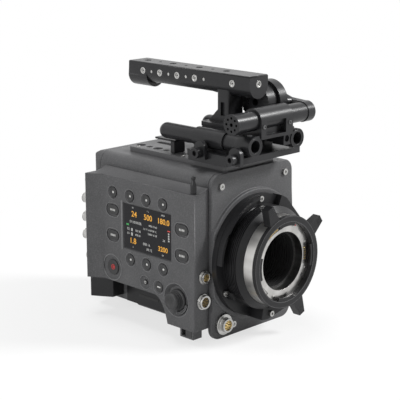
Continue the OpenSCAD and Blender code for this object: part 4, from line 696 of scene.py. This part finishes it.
def add_stadium_ring(bm, centre, width, height, band, thick):
    """Adds a flat ring with round ends that faces the left, its sizes in millimetres."""
    loops = []
    for grow, lift in ((0.0, 0.0), (0.0, thick), (band, thick), (band, 0.0)):
        radius = height / 2 + grow
        half = (width - height) / 2
        points = []
        for side in (1, -1):
            for step in range(ROUND_END_STEPS + 1):
                angle = math.pi * step / ROUND_END_STEPS - math.pi / 2
                points.append((centre[0] - lift,
                               centre[1] + side * (half + radius * math.cos(angle)),
                               centre[2] + side * radius * math.sin(angle)))
        loops.append([bm.verts.new(Vector(point) * MM) for point in points])
    for first, second in zip(loops, loops[1:] + loops[:1]):
        for place in range(len(first)):
            after = (place + 1) % len(first)
            bm.faces.new((first[place], first[after], second[after], second[place]))


FUNCTION_KEYS = ROUND_KEYS[:7]
KEY_RIM_R = 6.9
# Each rim, a lighter band of painted highlight on a recess's edge: node, outer radius, band width
RIMS = [(key, KEY_RIM_R, 0.45) for key in FUNCTION_KEYS] + [
    ("record_button", 13.0, 0.9), ("help_key", KEY_RIM_R, 0.4), ("lock_key", KEY_RIM_R, 0.3),
    ("menu_dial", 16.0, 0.6)]
RIM_THICK, RIM_SEGMENTS = 0.22, 48
PILL_RIM_GAP, PILL_RIM_BAND, PILL_RIM_THICK, PILL_RIM_SUNK = 1.2, 0.55, 0.3, 0.05


def key_rims():
    """Lighter rims round the keys' recesses, the record button and the dial's dish: painted
    highlights on the recesses' edges.
    """
    rims = bmesh.new()
    for node, radius, band in RIMS:
        dot_ring(rims, (PANEL_X, *node_middle(node)), radius, band, FACING_LEFT, RIM_THICK,
                 RIM_SEGMENTS)
    for node in PILL_KEYS:
        low, high = node_span(node)
        add_stadium_ring(rims, (PANEL_X + PILL_RIM_SUNK, *node_middle(node)),
                         high.y - low.y + PILL_RIM_GAP, high.z - low.z + PILL_RIM_GAP,
                         PILL_RIM_BAND, PILL_RIM_THICK)
    place_piece("panel_key_rim_highlights", rims, RIM_HIGHLIGHT, "camera", 0.08)


key_rims()


KEY_FLANGE, KEY_RIM_SHARE = 1.0, 0.1
KEY_DISHED = {node: 0.5 for node in ROUND_KEYS}
KEY_DISHED.update(record_button=0.9, lock_key=0.2)


def key_caps():
    """Turned caps with a dished face and a rounded rim stand for the round keys."""
    for node in ROUND_KEYS:
        low, high = node_span(node)
        radius = (high.y - low.y) / 2 - KEY_FLANGE
        deep = high.x - low.x
        dish = KEY_DISHED[node]
        rim = KEY_RIM_SHARE * radius
        bm = bmesh.new()
        add_lathe(bm, (low.x, *node_middle(node)), FACING_LEFT,
                  ((0.0, -dish), (0.45 * radius, -0.8 * dish), (0.78 * radius, -0.25 * dish),
                   (radius - rim, 0.0), (radius - 0.4 * rim, -0.1 * rim),
                   (radius - 0.1 * rim, -0.4 * rim), (radius, -rim),
                   (radius, -deep + KEY_FLANGE), (radius + KEY_FLANGE, -deep + KEY_FLANGE),
                   (radius + KEY_FLANGE, -deep), (0.0, -deep)))
        cap = place_piece(node + "_cap", bm, KEY_PLASTIC, node + "_body")
        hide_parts(node)


key_caps()


# The knob's outline as radius and height from its end, and the radius of its shaft
KNOB_PROFILE = ((0.0, -1.5), (2.6, -1.3), (4.4, -0.5), (5.2, -0.1), (6.4, 0.0), (7.4, -0.3),
                (8.0, -1.0), (8.2, -2.4), (8.2, -3.6), (7.7, -4.0), (8.2, -4.4), (8.2, -5.8),
                (7.7, -6.2), (8.2, -6.6), (8.4, -8.0), (9.7, -8.9), (9.9, -9.3), (9.9, -10.7))
KNOB_SHAFT_R = 3.7
# The ledge: its arc's radius, first angle and step in degrees, and its beads
LEDGE_ARC_R, LEDGE_START, LEDGE_STEP, LEDGE_BEADS = 12.3, 198, 9, 9
LEDGE_BEAD_R, LEDGE_BEAD_L, LEDGE_SUNK = 1.5, 2.6, 1.6


def dial_knob():
    """A turned rubber knob with a skirt and a dished end for the dial, and a ledge by it."""
    low, high = node_span("menu_dial")
    y, z = node_middle("menu_dial")
    deep = low.x - high.x
    knob = bmesh.new()
    add_lathe(knob, (low.x, y, z), FACING_LEFT,
              KNOB_PROFILE + ((KNOB_SHAFT_R, KNOB_PROFILE[-1][1]), (KNOB_SHAFT_R, deep),
                              (0.0, deep)))
    piece = place_piece("menu_dial_knob", knob, DIAL_RUBBER, body_name("menu_dial"))
    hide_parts("menu_dial")
    ledge = bmesh.new()
    for step in range(LEDGE_BEADS):
        angle = math.radians(LEDGE_START + LEDGE_STEP * step)
        add_rod(ledge, (PANEL_X + LEDGE_SUNK, y + LEDGE_ARC_R * math.cos(angle),
                        z + LEDGE_ARC_R * math.sin(angle)),
                LEDGE_BEAD_R, LEDGE_BEAD_L, FACING_LEFT, 20)
    place_piece("dial_thumb_ledge", ledge, BODY_PAINT, "camera", 0.25)


dial_knob()


MARK_R, MARK_DEEP = 1.1, 0.3
BARS, BAR_PITCH, PILL_BAR, HELP_BAR = 4, 1.8, (0.1, 1.1, 2.0), (0.3, 4.2, 1.2)
LOCK_RING_R, LOCK_RING_BAND, RECORD_RING_R, RECORD_RING_BAND = 1.3, 0.4, 2.6, 0.7


def mark_key(node, ending, material, draw):
    """Draws a mark on a key: draw fills a bmesh, given the key's face and middle."""
    bm = bmesh.new()
    draw(bm, node_span(node)[0].x, *node_middle(node))
    place_piece(node + ending, bm, material, node + "_body")


def draw_bars(bm, x, y, z):
    """A row of short bars."""
    for step in range(BARS):
        add_bar(bm, (x, y + BAR_PITCH * ((BARS - 1) / 2 - step), z), PILL_BAR)


def draw_record_mark(bm, x, y, z):
    """A ring and a dot in the middle of the record button."""
    dot_ring(bm, (x + 0.75, y, z), RECORD_RING_R, RECORD_RING_BAND, FACING_LEFT, 0.2)
    add_rod(bm, (x + 0.85, y, z), 1.2, MARK_DEEP, FACING_LEFT, 24)


def key_marks():
    """Dots on the function keys, bars on the pill keys and rings on two other keys."""
    for node in FUNCTION_KEYS:
        mark_key(node, "_dot", WHITE_PAINT, lambda bm, x, y, z: add_rod(
            bm, (x + KEY_DISHED[node], y, z), MARK_R, MARK_DEEP, FACING_LEFT, 20))
    mark_key("lock_key", "_dot", WHITE_PAINT, lambda bm, x, y, z: dot_ring(
        bm, (x + 0.1, y, z), LOCK_RING_R, LOCK_RING_BAND, FACING_LEFT, 0.1, 20))
    for node in PILL_KEYS:
        mark_key(node, "_bars", WHITE_PAINT, draw_bars)
    mark_key("record_button", "_ring", RED_PAINT, draw_record_mark)
    mark_key("help_key", "_bar", WHITE_PAINT, lambda bm, x, y, z: add_bar(
        bm, (x + 0.4, y, z), HELP_BAR))


key_marks()


# ---------------------------------------------------------------- inner parts of the sockets

# Circles of the pins as shares of the insert's radius, and the pins' sizes
PIN_CIRCLE, PIN_ROW_STEP = 0.72, 0.36
PIN_R, PIN_L, PIN_OUT = 0.42, 1.2, 0.2
NUT_BAND_SHARE, NOTCH, NOTCH_INSET, NUT_THICK = 0.24, 0.9, 0.5, 0.3


def socket_inside(name, centre, radius, depth, way, pins, rows, core):
    """The insert of a socket: an insulator with one or two circles of pins.
    way is -1 where the mouth faces the front and 1 where it faces the rear."""
    turn = FACING_FRONT if way < 0 else FACING_REAR
    x, y, z = centre
    base = bmesh.new()
    add_rod(base, (x, y - way * depth * 0.5, z), radius, depth, turn, 36)
    place_piece(name + "_insulator", base, core, "camera", 0.2)
    contacts = bmesh.new()
    for row in range(rows):
        reach = radius * (PIN_CIRCLE - PIN_ROW_STEP * row)
        count = pins if row == 0 else max(1, pins // 2)
        for step in range(count):
            angle = 2 * math.pi * step / count
            add_rod(contacts, (x + reach * math.cos(angle), y + way * PIN_OUT,
                               z + reach * math.sin(angle)), PIN_R, PIN_L, turn, 10)
    place_piece(name + "_pins", contacts, BLACK_PLASTIC, "camera")


def socket_nut(name, centre, radius, way, notches):
    """The notched ring nut round a socket."""
    turn = FACING_FRONT if way < 0 else FACING_REAR
    x, y, z = centre
    nut = bmesh.new()
    dot_ring(nut, (x, y, z), radius, radius * NUT_BAND_SHARE, turn, NUT_THICK)
    for step in range(notches):
        angle = 2 * math.pi * (step + 0.5) / notches
        add_bar(nut, (x + (radius - NOTCH_INSET) * math.cos(angle), y + way * NUT_THICK * 0.5,
                      z + (radius - NOTCH_INSET) * math.sin(angle)),
                (NOTCH, NUT_THICK * 1.3, NOTCH))
    place_piece(name + "_nut", nut, PLATED, "camera", 0.15)


# Sockets: name, X, Z, Y of the insert and the nut, insert radius, depth, pins, rows, nut
# radius, notches, insert finish
FRONT_FACE_Y = from_plate(3.9)
FRONT_INSERT_Y, FRONT_NUT_Y = FRONT_FACE_Y - 3.1, FRONT_FACE_Y - 3.9
REAR_FACE_Y = from_plate(161.0)
for label, x, z, insert_y, nut_y, radius, deep, pins, rows, nut_r, notches, finish in (
        ("power_out", -60.4, 62.3, FRONT_INSERT_Y, FRONT_NUT_Y, 3.3, 4.0, 2, 1, 5.0, 4, GOLD),
        ("lens_control", -61.6, 39.6, FRONT_INSERT_Y, FRONT_NUT_Y, 4.2, 4.0, 8, 2, 6.2, 8,
         DARK_GOLD),
        ("viewfinder", -39.0, 13.7, from_plate(-5.3), from_plate(-6.9), 4.6, 5.0, 8, 2, 6.5, 8,
         GOLD)):
    socket_inside(label, (x, insert_y, z), radius, deep, -1, pins, rows, finish)
    socket_nut(label, (x, nut_y, z), nut_r, -1, notches)

BNC_X, BNC_RIM_R, BNC_LONG, BNC_SHORT = -70.5, 5.2, 12.0, 7.0
# The panel's rear sockets: height and how far each stands out; the long ones have lugs
for count, (height, out) in enumerate(((130.2, BNC_SHORT), (111.5, BNC_LONG), (93.0, BNC_LONG),
                                       (75.7, BNC_LONG), (55.8, BNC_SHORT))):
    label = "rear_socket_%d" % (count + 1)
    tip = from_plate(PANEL_END_Y) + out
    core = bmesh.new()
    add_rod(core, (BNC_X, tip - 3.2, height), 2.3, 2.4, FACING_REAR, 28)
    place_piece(label + "_dielectric", core, WHITE_PAINT, "camera", 0.15)
    pin = bmesh.new()
    add_rod(pin, (BNC_X, tip - 2.0, height), 0.6, 3.6, FACING_REAR, 16)
    place_piece(label + "_pin", pin, GOLD, "camera", 0.1)
    if out == BNC_LONG:
        lugs = bmesh.new()
        for side in (-1, 1):
            add_rod(lugs, (BNC_X, tip - 3.5, height + side * BNC_RIM_R), 0.9, 1.6, FACING_UP, 16)
        dot_ring(lugs, (BNC_X, tip - 0.1, height), BNC_RIM_R, 0.9, FACING_REAR, 0.4)
        place_piece(label + "_lugs", lugs, PLATED, "camera", 0.15)

BODY_HALF_W, BODY_H = 54, 154
POWER_Z_SHARE, POWER_INSERT_OUT, POWER_NUT_OUT = 0.84, 3.8, 4.8
for count, share in enumerate((-0.62, -0.21, 0.21, 0.62)):
    x, z = share * BODY_HALF_W, POWER_Z_SHARE * BODY_H
    label = "power_socket_%d" % (count + 1)
    socket_inside(label, (x, REAR_FACE_Y + POWER_INSERT_OUT, z), 4.0, 4.0, 1, 5, 1,
                  BLACK_PLASTIC)
    socket_nut(label, (x, REAR_FACE_Y + POWER_NUT_OUT, z), 6.0, 1, 8)


# ---------------------------------------------------------------- lens mount and adapter

def polar(radius, degrees):
    """A place round the lens axis, as X and Z in millimetres."""
    angle = math.radians(degrees)
    return radius * math.cos(angle), AXIS_Z + radius * math.sin(angle)


def spun(bm, verts, degrees):
    """Turns new parts round the lens axis from the angle of zero."""
    matrix = (Matrix.Translation(Vector((0, 0, AXIS_Z)) * MM)
              @ Matrix.Rotation(math.radians(-degrees), 4, "Y")
              @ Matrix.Translation(Vector((0, 0, -AXIS_Z)) * MM))
    bmesh.ops.transform(bm, matrix=matrix, verts=verts)


def add_turned_bar(bm, radius, degrees, y, size):
    """Adds a block at a radius and angle round the lens axis; size is radial, Y, tangential."""
    before = set(bm.verts)
    add_bar(bm, (radius, y, AXIS_Z), size)
    spun(bm, [vert for vert in bm.verts if vert not in before], degrees)


# Radii in millimetres and angles in degrees round the lens axis
FLANGE_Y = from_plate(-37.0)
FACE_SCREW_R, FACE_SCREW_ANGLES = 33.2, (22, 68, 142, 204, 250, 338)
CONTACT_ANGLE, CONTACT_ROW_R, CONTACT = 3, (29.5, 31.2), (0.9, 0.35, 1.0)
CONTACT_TURNS = [CONTACT_ANGLE + (step - 2.5) * 4.2 for step in range(6)]
UPPER_R, UPPER_CONTACT = 31.8, (1.5, 0.16, 0.5)
UPPER_TURNS = [105 + step * 2.2 for step in range(7)]
INDEX_R, INDEX_ANGLE = 34.3, 62
SEAT_R, SEAT_BAND, ROUND_SEGMENTS = 36.1, 6.0, 96
# Dark seats: radius, angle, how far before the face, size
DARK_SEATS = ((30.4, CONTACT_ANGLE, 0.06, (3.6, 0.25, 15.0)),
              (UPPER_R, 108, 0.03, (3.4, 0.2, 12.0)),
              (32.0, 96, 0.1, (3.0, 0.5, 2.6)), (32.0, -35, 0.1, (2.2, 0.4, 3.0)))


def mount_details():
    """Screws with painted shade in their hex sockets, contact slot, index marks and seats on the
    steel face of the lens mount.
    """
    dark, steel, gold, red = bmesh.new(), bmesh.new(), bmesh.new(), bmesh.new()
    for degrees in FACE_SCREW_ANGLES:
        x, z = polar(FACE_SCREW_R, degrees)
        add_rod(steel, (x, FLANGE_Y - 0.1, z), 1.15, 0.7, FACING_FRONT, 20)
        # A dark hex on each screw's head: painted shade of its socket.
        add_rod(dark, (x, FLANGE_Y - 0.42, z), 0.55, 0.16, FACING_FRONT, 6)
    for radius, degrees, out, size in DARK_SEATS:
        add_turned_bar(dark, radius, degrees, FLANGE_Y - out, size)
    for radius in CONTACT_ROW_R:
        for degrees in CONTACT_TURNS:
            add_turned_bar(gold, radius, degrees, FLANGE_Y - 0.28, CONTACT)
    for degrees in UPPER_TURNS:
        add_turned_bar(gold, UPPER_R, degrees, FLANGE_Y - 0.2, UPPER_CONTACT)
    x, z = polar(INDEX_R, INDEX_ANGLE)
    add_rod(red, (x, FLANGE_Y - 0.05, z), 0.8, 0.3, FACING_FRONT, 20)
    seat = bmesh.new()
    dot_ring(seat, (0, FLANGE_Y + 1.3, AXIS_Z), SEAT_R, SEAT_BAND, FACING_FRONT, 0.5,
             ROUND_SEGMENTS)
    place_piece("mount_outer_seat", seat, STEEL, "camera")
    place_piece("mount_dark_seats_and_socket_shade", dark, BLACK_PLASTIC, "camera")
    place_piece("mount_face_screws", steel, PLATED, "camera", 0.12)
    place_piece("mount_face_contacts", gold, GOLD, "camera", 0.05)
    place_piece("mount_index_dot", red, RED_PAINT, "camera", 0.05)


mount_details()


# Each wing of the locking ring: its angle and the radius of its tip
WINGS = ((34, 57), (113, 58), (-67, 59))
GRIPS, GRIP_PITCH, GRIP_FROM_TIP, GRIP = 4, 1.5, 1.6, (0.6, 7.7, 6.0)
RING_FACE_Y, GRIP_Y = from_plate(-42.0), from_plate(-38.0)


def ring_details():
    """Grip lines on the locking ring's wings, and lighter rings on the edges of its face: painted
    highlights.
    """
    edge = bmesh.new()
    # Thin grey rings at the edges of the ring's face: painted highlights on its edges.
    for y, radius, band in ((RING_FACE_Y - 0.05, 37.3, 0.35), (RING_FACE_Y, 42.2, 0.25)):
        dot_ring(edge, (0, y, AXIS_Z), radius, band, FACING_FRONT, 0.06, ROUND_SEGMENTS)
    place_piece("ring_edge_highlights", edge, GREY_METAL, "lock_ring")
    grips = bmesh.new()
    for angle, tip in WINGS:
        for step in range(GRIPS):
            add_turned_bar(grips, tip - GRIP_FROM_TIP - GRIP_PITCH * step, angle, GRIP_Y, GRIP)
    place_piece("ring_wing_grips", grips, BLACK_METAL, "lock_ring", 0.2)


ring_details()


# ---------------------------------------------------------------- screws and trim

# The head's rim and the recess' lip as shares of its radius, the recess as a share of its height
HEAD_RIM, RECESS_LIP, RECESS_DEEP, HEAD_SEGMENTS = 0.42, 0.04, 0.6, 28


def add_screw(bm, centre, radius, height, turn):
    """Adds a cap screw's head with a recess, its foot at the centre given."""
    matrix = Matrix.Translation(Vector(centre) * MM) @ turn
    rim = bmesh.ops.create_circle(bm, cap_ends=True, radius=radius * MM,
                                  segments=HEAD_SEGMENTS)
    face = rim["verts"][0].link_faces[0]
    raised = bmesh.ops.extrude_face_region(bm, geom=[face])
    top = [item for item in raised["geom"] if isinstance(item, bmesh.types.BMFace)]
    bmesh.ops.translate(bm, vec=(0, 0, height * MM), verts=top[0].verts)
    bmesh.ops.inset_region(bm, faces=top, thickness=radius * HEAD_RIM * MM, depth=0.0)
    bmesh.ops.inset_region(bm, faces=top, thickness=radius * RECESS_LIP * MM,
                           depth=-height * RECESS_DEEP * MM)
    found = set(rim["verts"])
    grown = True
    while grown:
        near = {edge.other_vert(vert) for vert in found for edge in vert.link_edges} - found
        found |= near
        grown = bool(near)
    bmesh.ops.transform(bm, matrix=matrix, verts=list(found))


COVER_X, BATTERY_FACE_Y, TOP_PLATE_Z, CRADLE_Z = 62.0, from_plate(175.0), 159.0, 169.9
# Screws of the covers, the cradle and the rods' bridge: piece, finish, body, slot, and sets of
# places, radius, height and turn
SCREW_SETS = (
    ("cover_screws", PLATED, "camera", "steel", (
        ([(COVER_X, from_plate(y), z) for y in (14, 138) for z in (30, 130)],
         2.4, 0.7, FACING_RIGHT),
        ([(x, REAR_FACE_Y, z) for z in (20, 143) for x in (-46, 46)], 2.4, 0.7, FACING_REAR),
        ([(x, BATTERY_FACE_Y, z) for z in (104, 20) for x in (-34, 34)], 2.2, 0.8, FACING_REAR),
        ([(x, from_plate(y), TOP_PLATE_Z) for x in (-28.5, 28.5) for y in (8, 62, 122)],
         2.0, 0.5, FACING_UP))),
    ("cradle_screws", GREY_METAL, "camera", "black_metal", (
        ([(x, from_plate(y), CRADLE_Z) for x in (-36, 36) for y in (-14, 40)],
         2.6, 1.4, FACING_UP),)),
    ("bridge_screws", GREY_METAL, "rods", "black_metal", (
        ([(x, from_plate(-28.0), 196.5) for x in (-17.5, 16.5)], 1.8, 0.9, FACING_FRONT),
        ([(x, from_plate(-20.5), 188.9) for x in (-28, 28)], 2.2, 1.2, FACING_UP))))
for name, finish, body, slot, sets in SCREW_SETS:
    screws = bmesh.new()
    for places, radius, height, turn in sets:
        for place in places:
            add_screw(screws, place, radius, height, turn)
    place_piece(name, screws, finish, body)


HANDLE_SIDE_X, HANDLE_ROW_Z = 12.0, 229.2
INSERT_PITCH, INSERT_REAR_Y, FRONT_INSERT_FROM_PLATE = 23.2, 133.3, 16.4
HANDLE_END_Y, HANDLE_END_Z = from_plate(-5.4), 229.7
# Grub screws and the dark hexes painted on them as the shade of their sockets: radius, length and
# how deep the middle lies
GRUB_R, GRUB_L, GRUB_DEEP = 2.1, 0.6, 1.1
RECESS_R, RECESS_L, RECESS_OUT = 0.9, 0.1, 0.78
PIN_HOLE_R, PIN_HOLE_L, PIN_HOLE_DEEP = 1.58, 0.4, 0.6


def handle_screws():
    """Grub screws that rest in the handle's threads, each with a dark hex painted on it as the
    shade of its socket, and pins in its small holes.
    """
    bright, dark = bmesh.new(), bmesh.new()
    row = [INSERT_REAR_Y - INSERT_PITCH * step for step in range(4)]
    for side, turn in ((-1, FACING_LEFT), (1, FACING_RIGHT)):
        for y in row + [FRONT_INSERT_FROM_PLATE]:
            add_rod(bright, (side * (HANDLE_SIDE_X - GRUB_DEEP), from_plate(y), HANDLE_ROW_Z),
                    GRUB_R, GRUB_L, turn, 24)
            # A dark hex on each screw: painted shade of its socket.
            add_rod(dark, (side * (HANDLE_SIDE_X - RECESS_OUT), from_plate(y), HANDLE_ROW_Z),
                    RECESS_R, RECESS_L, turn, 6)
    for y in row:
        add_rod(bright, (PIN_HOLE_DEEP - HANDLE_SIDE_X, from_plate(y - INSERT_PITCH / 2),
                         HANDLE_ROW_Z), PIN_HOLE_R, PIN_HOLE_L, FACING_LEFT, 20)
    add_rod(bright, (0, HANDLE_END_Y + GRUB_DEEP, HANDLE_END_Z), GRUB_R, GRUB_L, FACING_FRONT, 24)
    add_rod(dark, (0, HANDLE_END_Y + RECESS_OUT, HANDLE_END_Z), RECESS_R, RECESS_L,
            FACING_FRONT, 6)
    place_piece("handle_grub_screws", bright, PLATED, "camera", 0.15)
    place_piece("handle_screw_socket_shade", dark, BLACK_PLASTIC, "camera")


handle_screws()


# Pieces made of blocks: the black lower side under the control panel, darkened as painted shade
# under the panel's overhang, with its slot as a flat bar of painted shade; a lighter strip on the
# edge of the display's recess, a painted highlight; the bent plate under the rods, the battery's
# blades and rails.
# Each piece: name, finish, slot, edge width, and the centre and size of its blocks
BLOCK_PIECES = (
    # A black sheet on the lower side, its dark colour partly painted shade under the panel's
    # overhang.
    ("lower_side_skirt_shade", ADAPTER_BLACK, "black_metal", 0.3,
     [((-54.2, from_plate(76.0), 25.6), (0.8, 74.0, 25.0))]),
    # The slot as a flat near-black bar: painted shade of its depth.
    ("lower_side_slot_shade", THROAT_BLACK, "black_plastic", 0.1,
     [((-54.7, from_plate(82.0), 22.6), (0.3, 26.0, 2.8))]),
    # A lighter strip on the recess's edge: a painted highlight.
    ("display_recess_highlight", RIM_HIGHLIGHT, "body_paint", 0.15,
     [((PANEL_X + 0.1, 37.2, DISPLAY_Z), (0.5, 1.7, 47.0))]),
    ("bent_rod_plate", BLACK_METAL, "black_metal", 0.4,
     [((-21.0, 14.5, 165.4), (14.0, 5.0, 12.4)), ((-21.0, 25.0, 170.9), (14.0, 26.0, 1.8))]),
    ("battery_blades", GOLD, "contacts", 0.2,
     [((x, from_plate(168.6), 34.0), (1.6, 2.4, 7.0)) for x in (-10, -5, 0, 5, 10)]),
    ("battery_rails", BLACK_METAL, "black_metal", 0.25,
     [block for side in (-1, 1) for block in (
         ((side * 30.0, from_plate(175.3), 62.0), (2.0, 1.0, 64.0)),
         ((side * 34.5, from_plate(175.2), 62.0), (1.2, 0.7, 50.0)))]))
for name, finish, slot, edge, blocks in BLOCK_PIECES:
    bm = bmesh.new()
    for centre, size in blocks:
        add_bar(bm, centre, size)
    place_piece(name, bm, finish, "camera", edge)


# ---------------------------------------------------------------- studio and camera

def seen_rays(nodes, links):
    """One where the ray comes from the camera, a reflection or glass, else nought."""
    path = nodes.new("ShaderNodeLightPath")
    mirrored = math_node(nodes, links, "MAXIMUM", path.outputs["Is Glossy Ray"],
                         path.outputs["Is Transmission Ray"])
    return math_node(nodes, links, "MAXIMUM", path.outputs["Is Camera Ray"], mirrored)


FLOOR_SIZE, FLOOR_GAP, FLOOR_ROUGH, FLOOR_GREY = 8.0, 0.0002, 0.9, (0.8, 0.8, 0.8, 1.0)
# The floor turns to plain white with the distance from its middle, in metres
FLOOR_FADE = (("From Min", 0.12), ("From Max", 0.45), ("To Min", 0.7), ("To Max", 1.0))
SKY_COLOUR, SKY_STRENGTH = (0.98, 0.99, 1.0, 1.0), 0.2
# Each lamp: name, place, size in metres, watts
LAMPS = (("front lamp", (1.25, -1.25, 1.4), 0.6, 52.0),
         ("left lamp", (-1.9, 0.1, 0.9), 1.0, 16.0),
         ("top lamp", (-0.1, 0.4, 2.1), 0.9, 22.0))
LAMP_AIM = (0, 0, 0.1)


def studio():
    """Pale floor, world light and three soft lamps."""
    floor_mesh = bmesh.new()
    bmesh.ops.create_grid(floor_mesh, x_segments=1, y_segments=1, size=FLOOR_SIZE)
    floor = bpy.data.objects.new("floor", bpy.data.meshes.new("floor"))
    floor_mesh.to_mesh(floor.data)
    floor_mesh.free()
    floor.location.z = -FLOOR_GAP
    bpy.context.scene.collection.objects.link(floor)
    material = bpy.data.materials.new("floor white")
    material.use_nodes = True
    nodes, links = material.node_tree.nodes, material.node_tree.links
    nodes["Principled BSDF"].inputs["Base Color"].default_value = FLOOR_GREY
    nodes["Principled BSDF"].inputs["Roughness"].default_value = FLOOR_ROUGH
    nodes["Principled BSDF"].inputs["Specular IOR Level"].default_value = 0.0
    paper = nodes.new("ShaderNodeEmission")
    reach = nodes.new("ShaderNodeVectorMath")
    reach.operation = "LENGTH"
    links.new(nodes.new("ShaderNodeTexCoord").outputs["Object"], reach.inputs[0])
    fade = nodes.new("ShaderNodeMapRange")
    fade.interpolation_type = "SMOOTHSTEP"
    links.new(reach.outputs["Value"], fade.inputs["Value"])
    for slot, value in FLOOR_FADE:
        fade.inputs[slot].default_value = value
    share = math_node(nodes, links, "MULTIPLY", seen_rays(nodes, links), fade.outputs["Result"])
    mix = nodes.new("ShaderNodeMixShader")
    links.new(share, mix.inputs[0])
    links.new(nodes["Principled BSDF"].outputs[0], mix.inputs[1])
    links.new(paper.outputs[0], mix.inputs[2])
    links.new(mix.outputs[0], nodes["Material Output"].inputs["Surface"])
    floor.data.materials.append(material)

    world = bpy.data.worlds.new("studio")
    world.use_nodes = True
    bpy.context.scene.world = world
    nodes, links = world.node_tree.nodes, world.node_tree.links
    shown = nodes["Background"]
    shown.inputs["Color"].default_value = (1.0, 1.0, 1.0, 1.0)
    shown.inputs["Strength"].default_value = 1.0
    light = nodes.new("ShaderNodeBackground")
    light.inputs["Color"].default_value = SKY_COLOUR
    light.inputs["Strength"].default_value = SKY_STRENGTH
    mix = nodes.new("ShaderNodeMixShader")
    links.new(seen_rays(nodes, links), mix.inputs[0])
    links.new(light.outputs[0], mix.inputs[1])
    links.new(shown.outputs[0], mix.inputs[2])
    links.new(mix.outputs[0], nodes["World Output"].inputs["Surface"])

    for name, spot, size, power in LAMPS:
        lamp = bpy.data.lights.new(name, "AREA")
        lamp.shape = "DISK"
        lamp.size = size
        lamp.energy = power
        holder = bpy.data.objects.new(name, lamp)
        holder.location = spot
        holder.rotation_euler = (Vector(LAMP_AIM) - Vector(spot)).to_track_quat(
            "-Z", "Y").to_euler()
        bpy.context.scene.collection.objects.link(holder)


SENSOR_W, FOCAL_L = 36.0, 110.6
CAMERA_PLACE = (-0.8044, -0.791, 0.3976)
CAMERA_DOWN, CAMERA_TURN = 14.21, -45.26


def photo_camera():
    """The camera at the photograph's place and angle."""
    lens = bpy.data.cameras.new("photo camera")
    lens.sensor_width = SENSOR_W
    lens.sensor_fit = "HORIZONTAL"
    lens.lens = FOCAL_L
    camera = bpy.data.objects.new("photo camera", lens)
    camera.location = CAMERA_PLACE
    camera.rotation_euler = (math.radians(90 - CAMERA_DOWN), 0.0, math.radians(CAMERA_TURN))
    bpy.context.scene.collection.objects.link(camera)
    bpy.context.scene.camera = camera


studio()
photo_camera()
bpy.context.scene.view_settings.view_transform = "Standard"
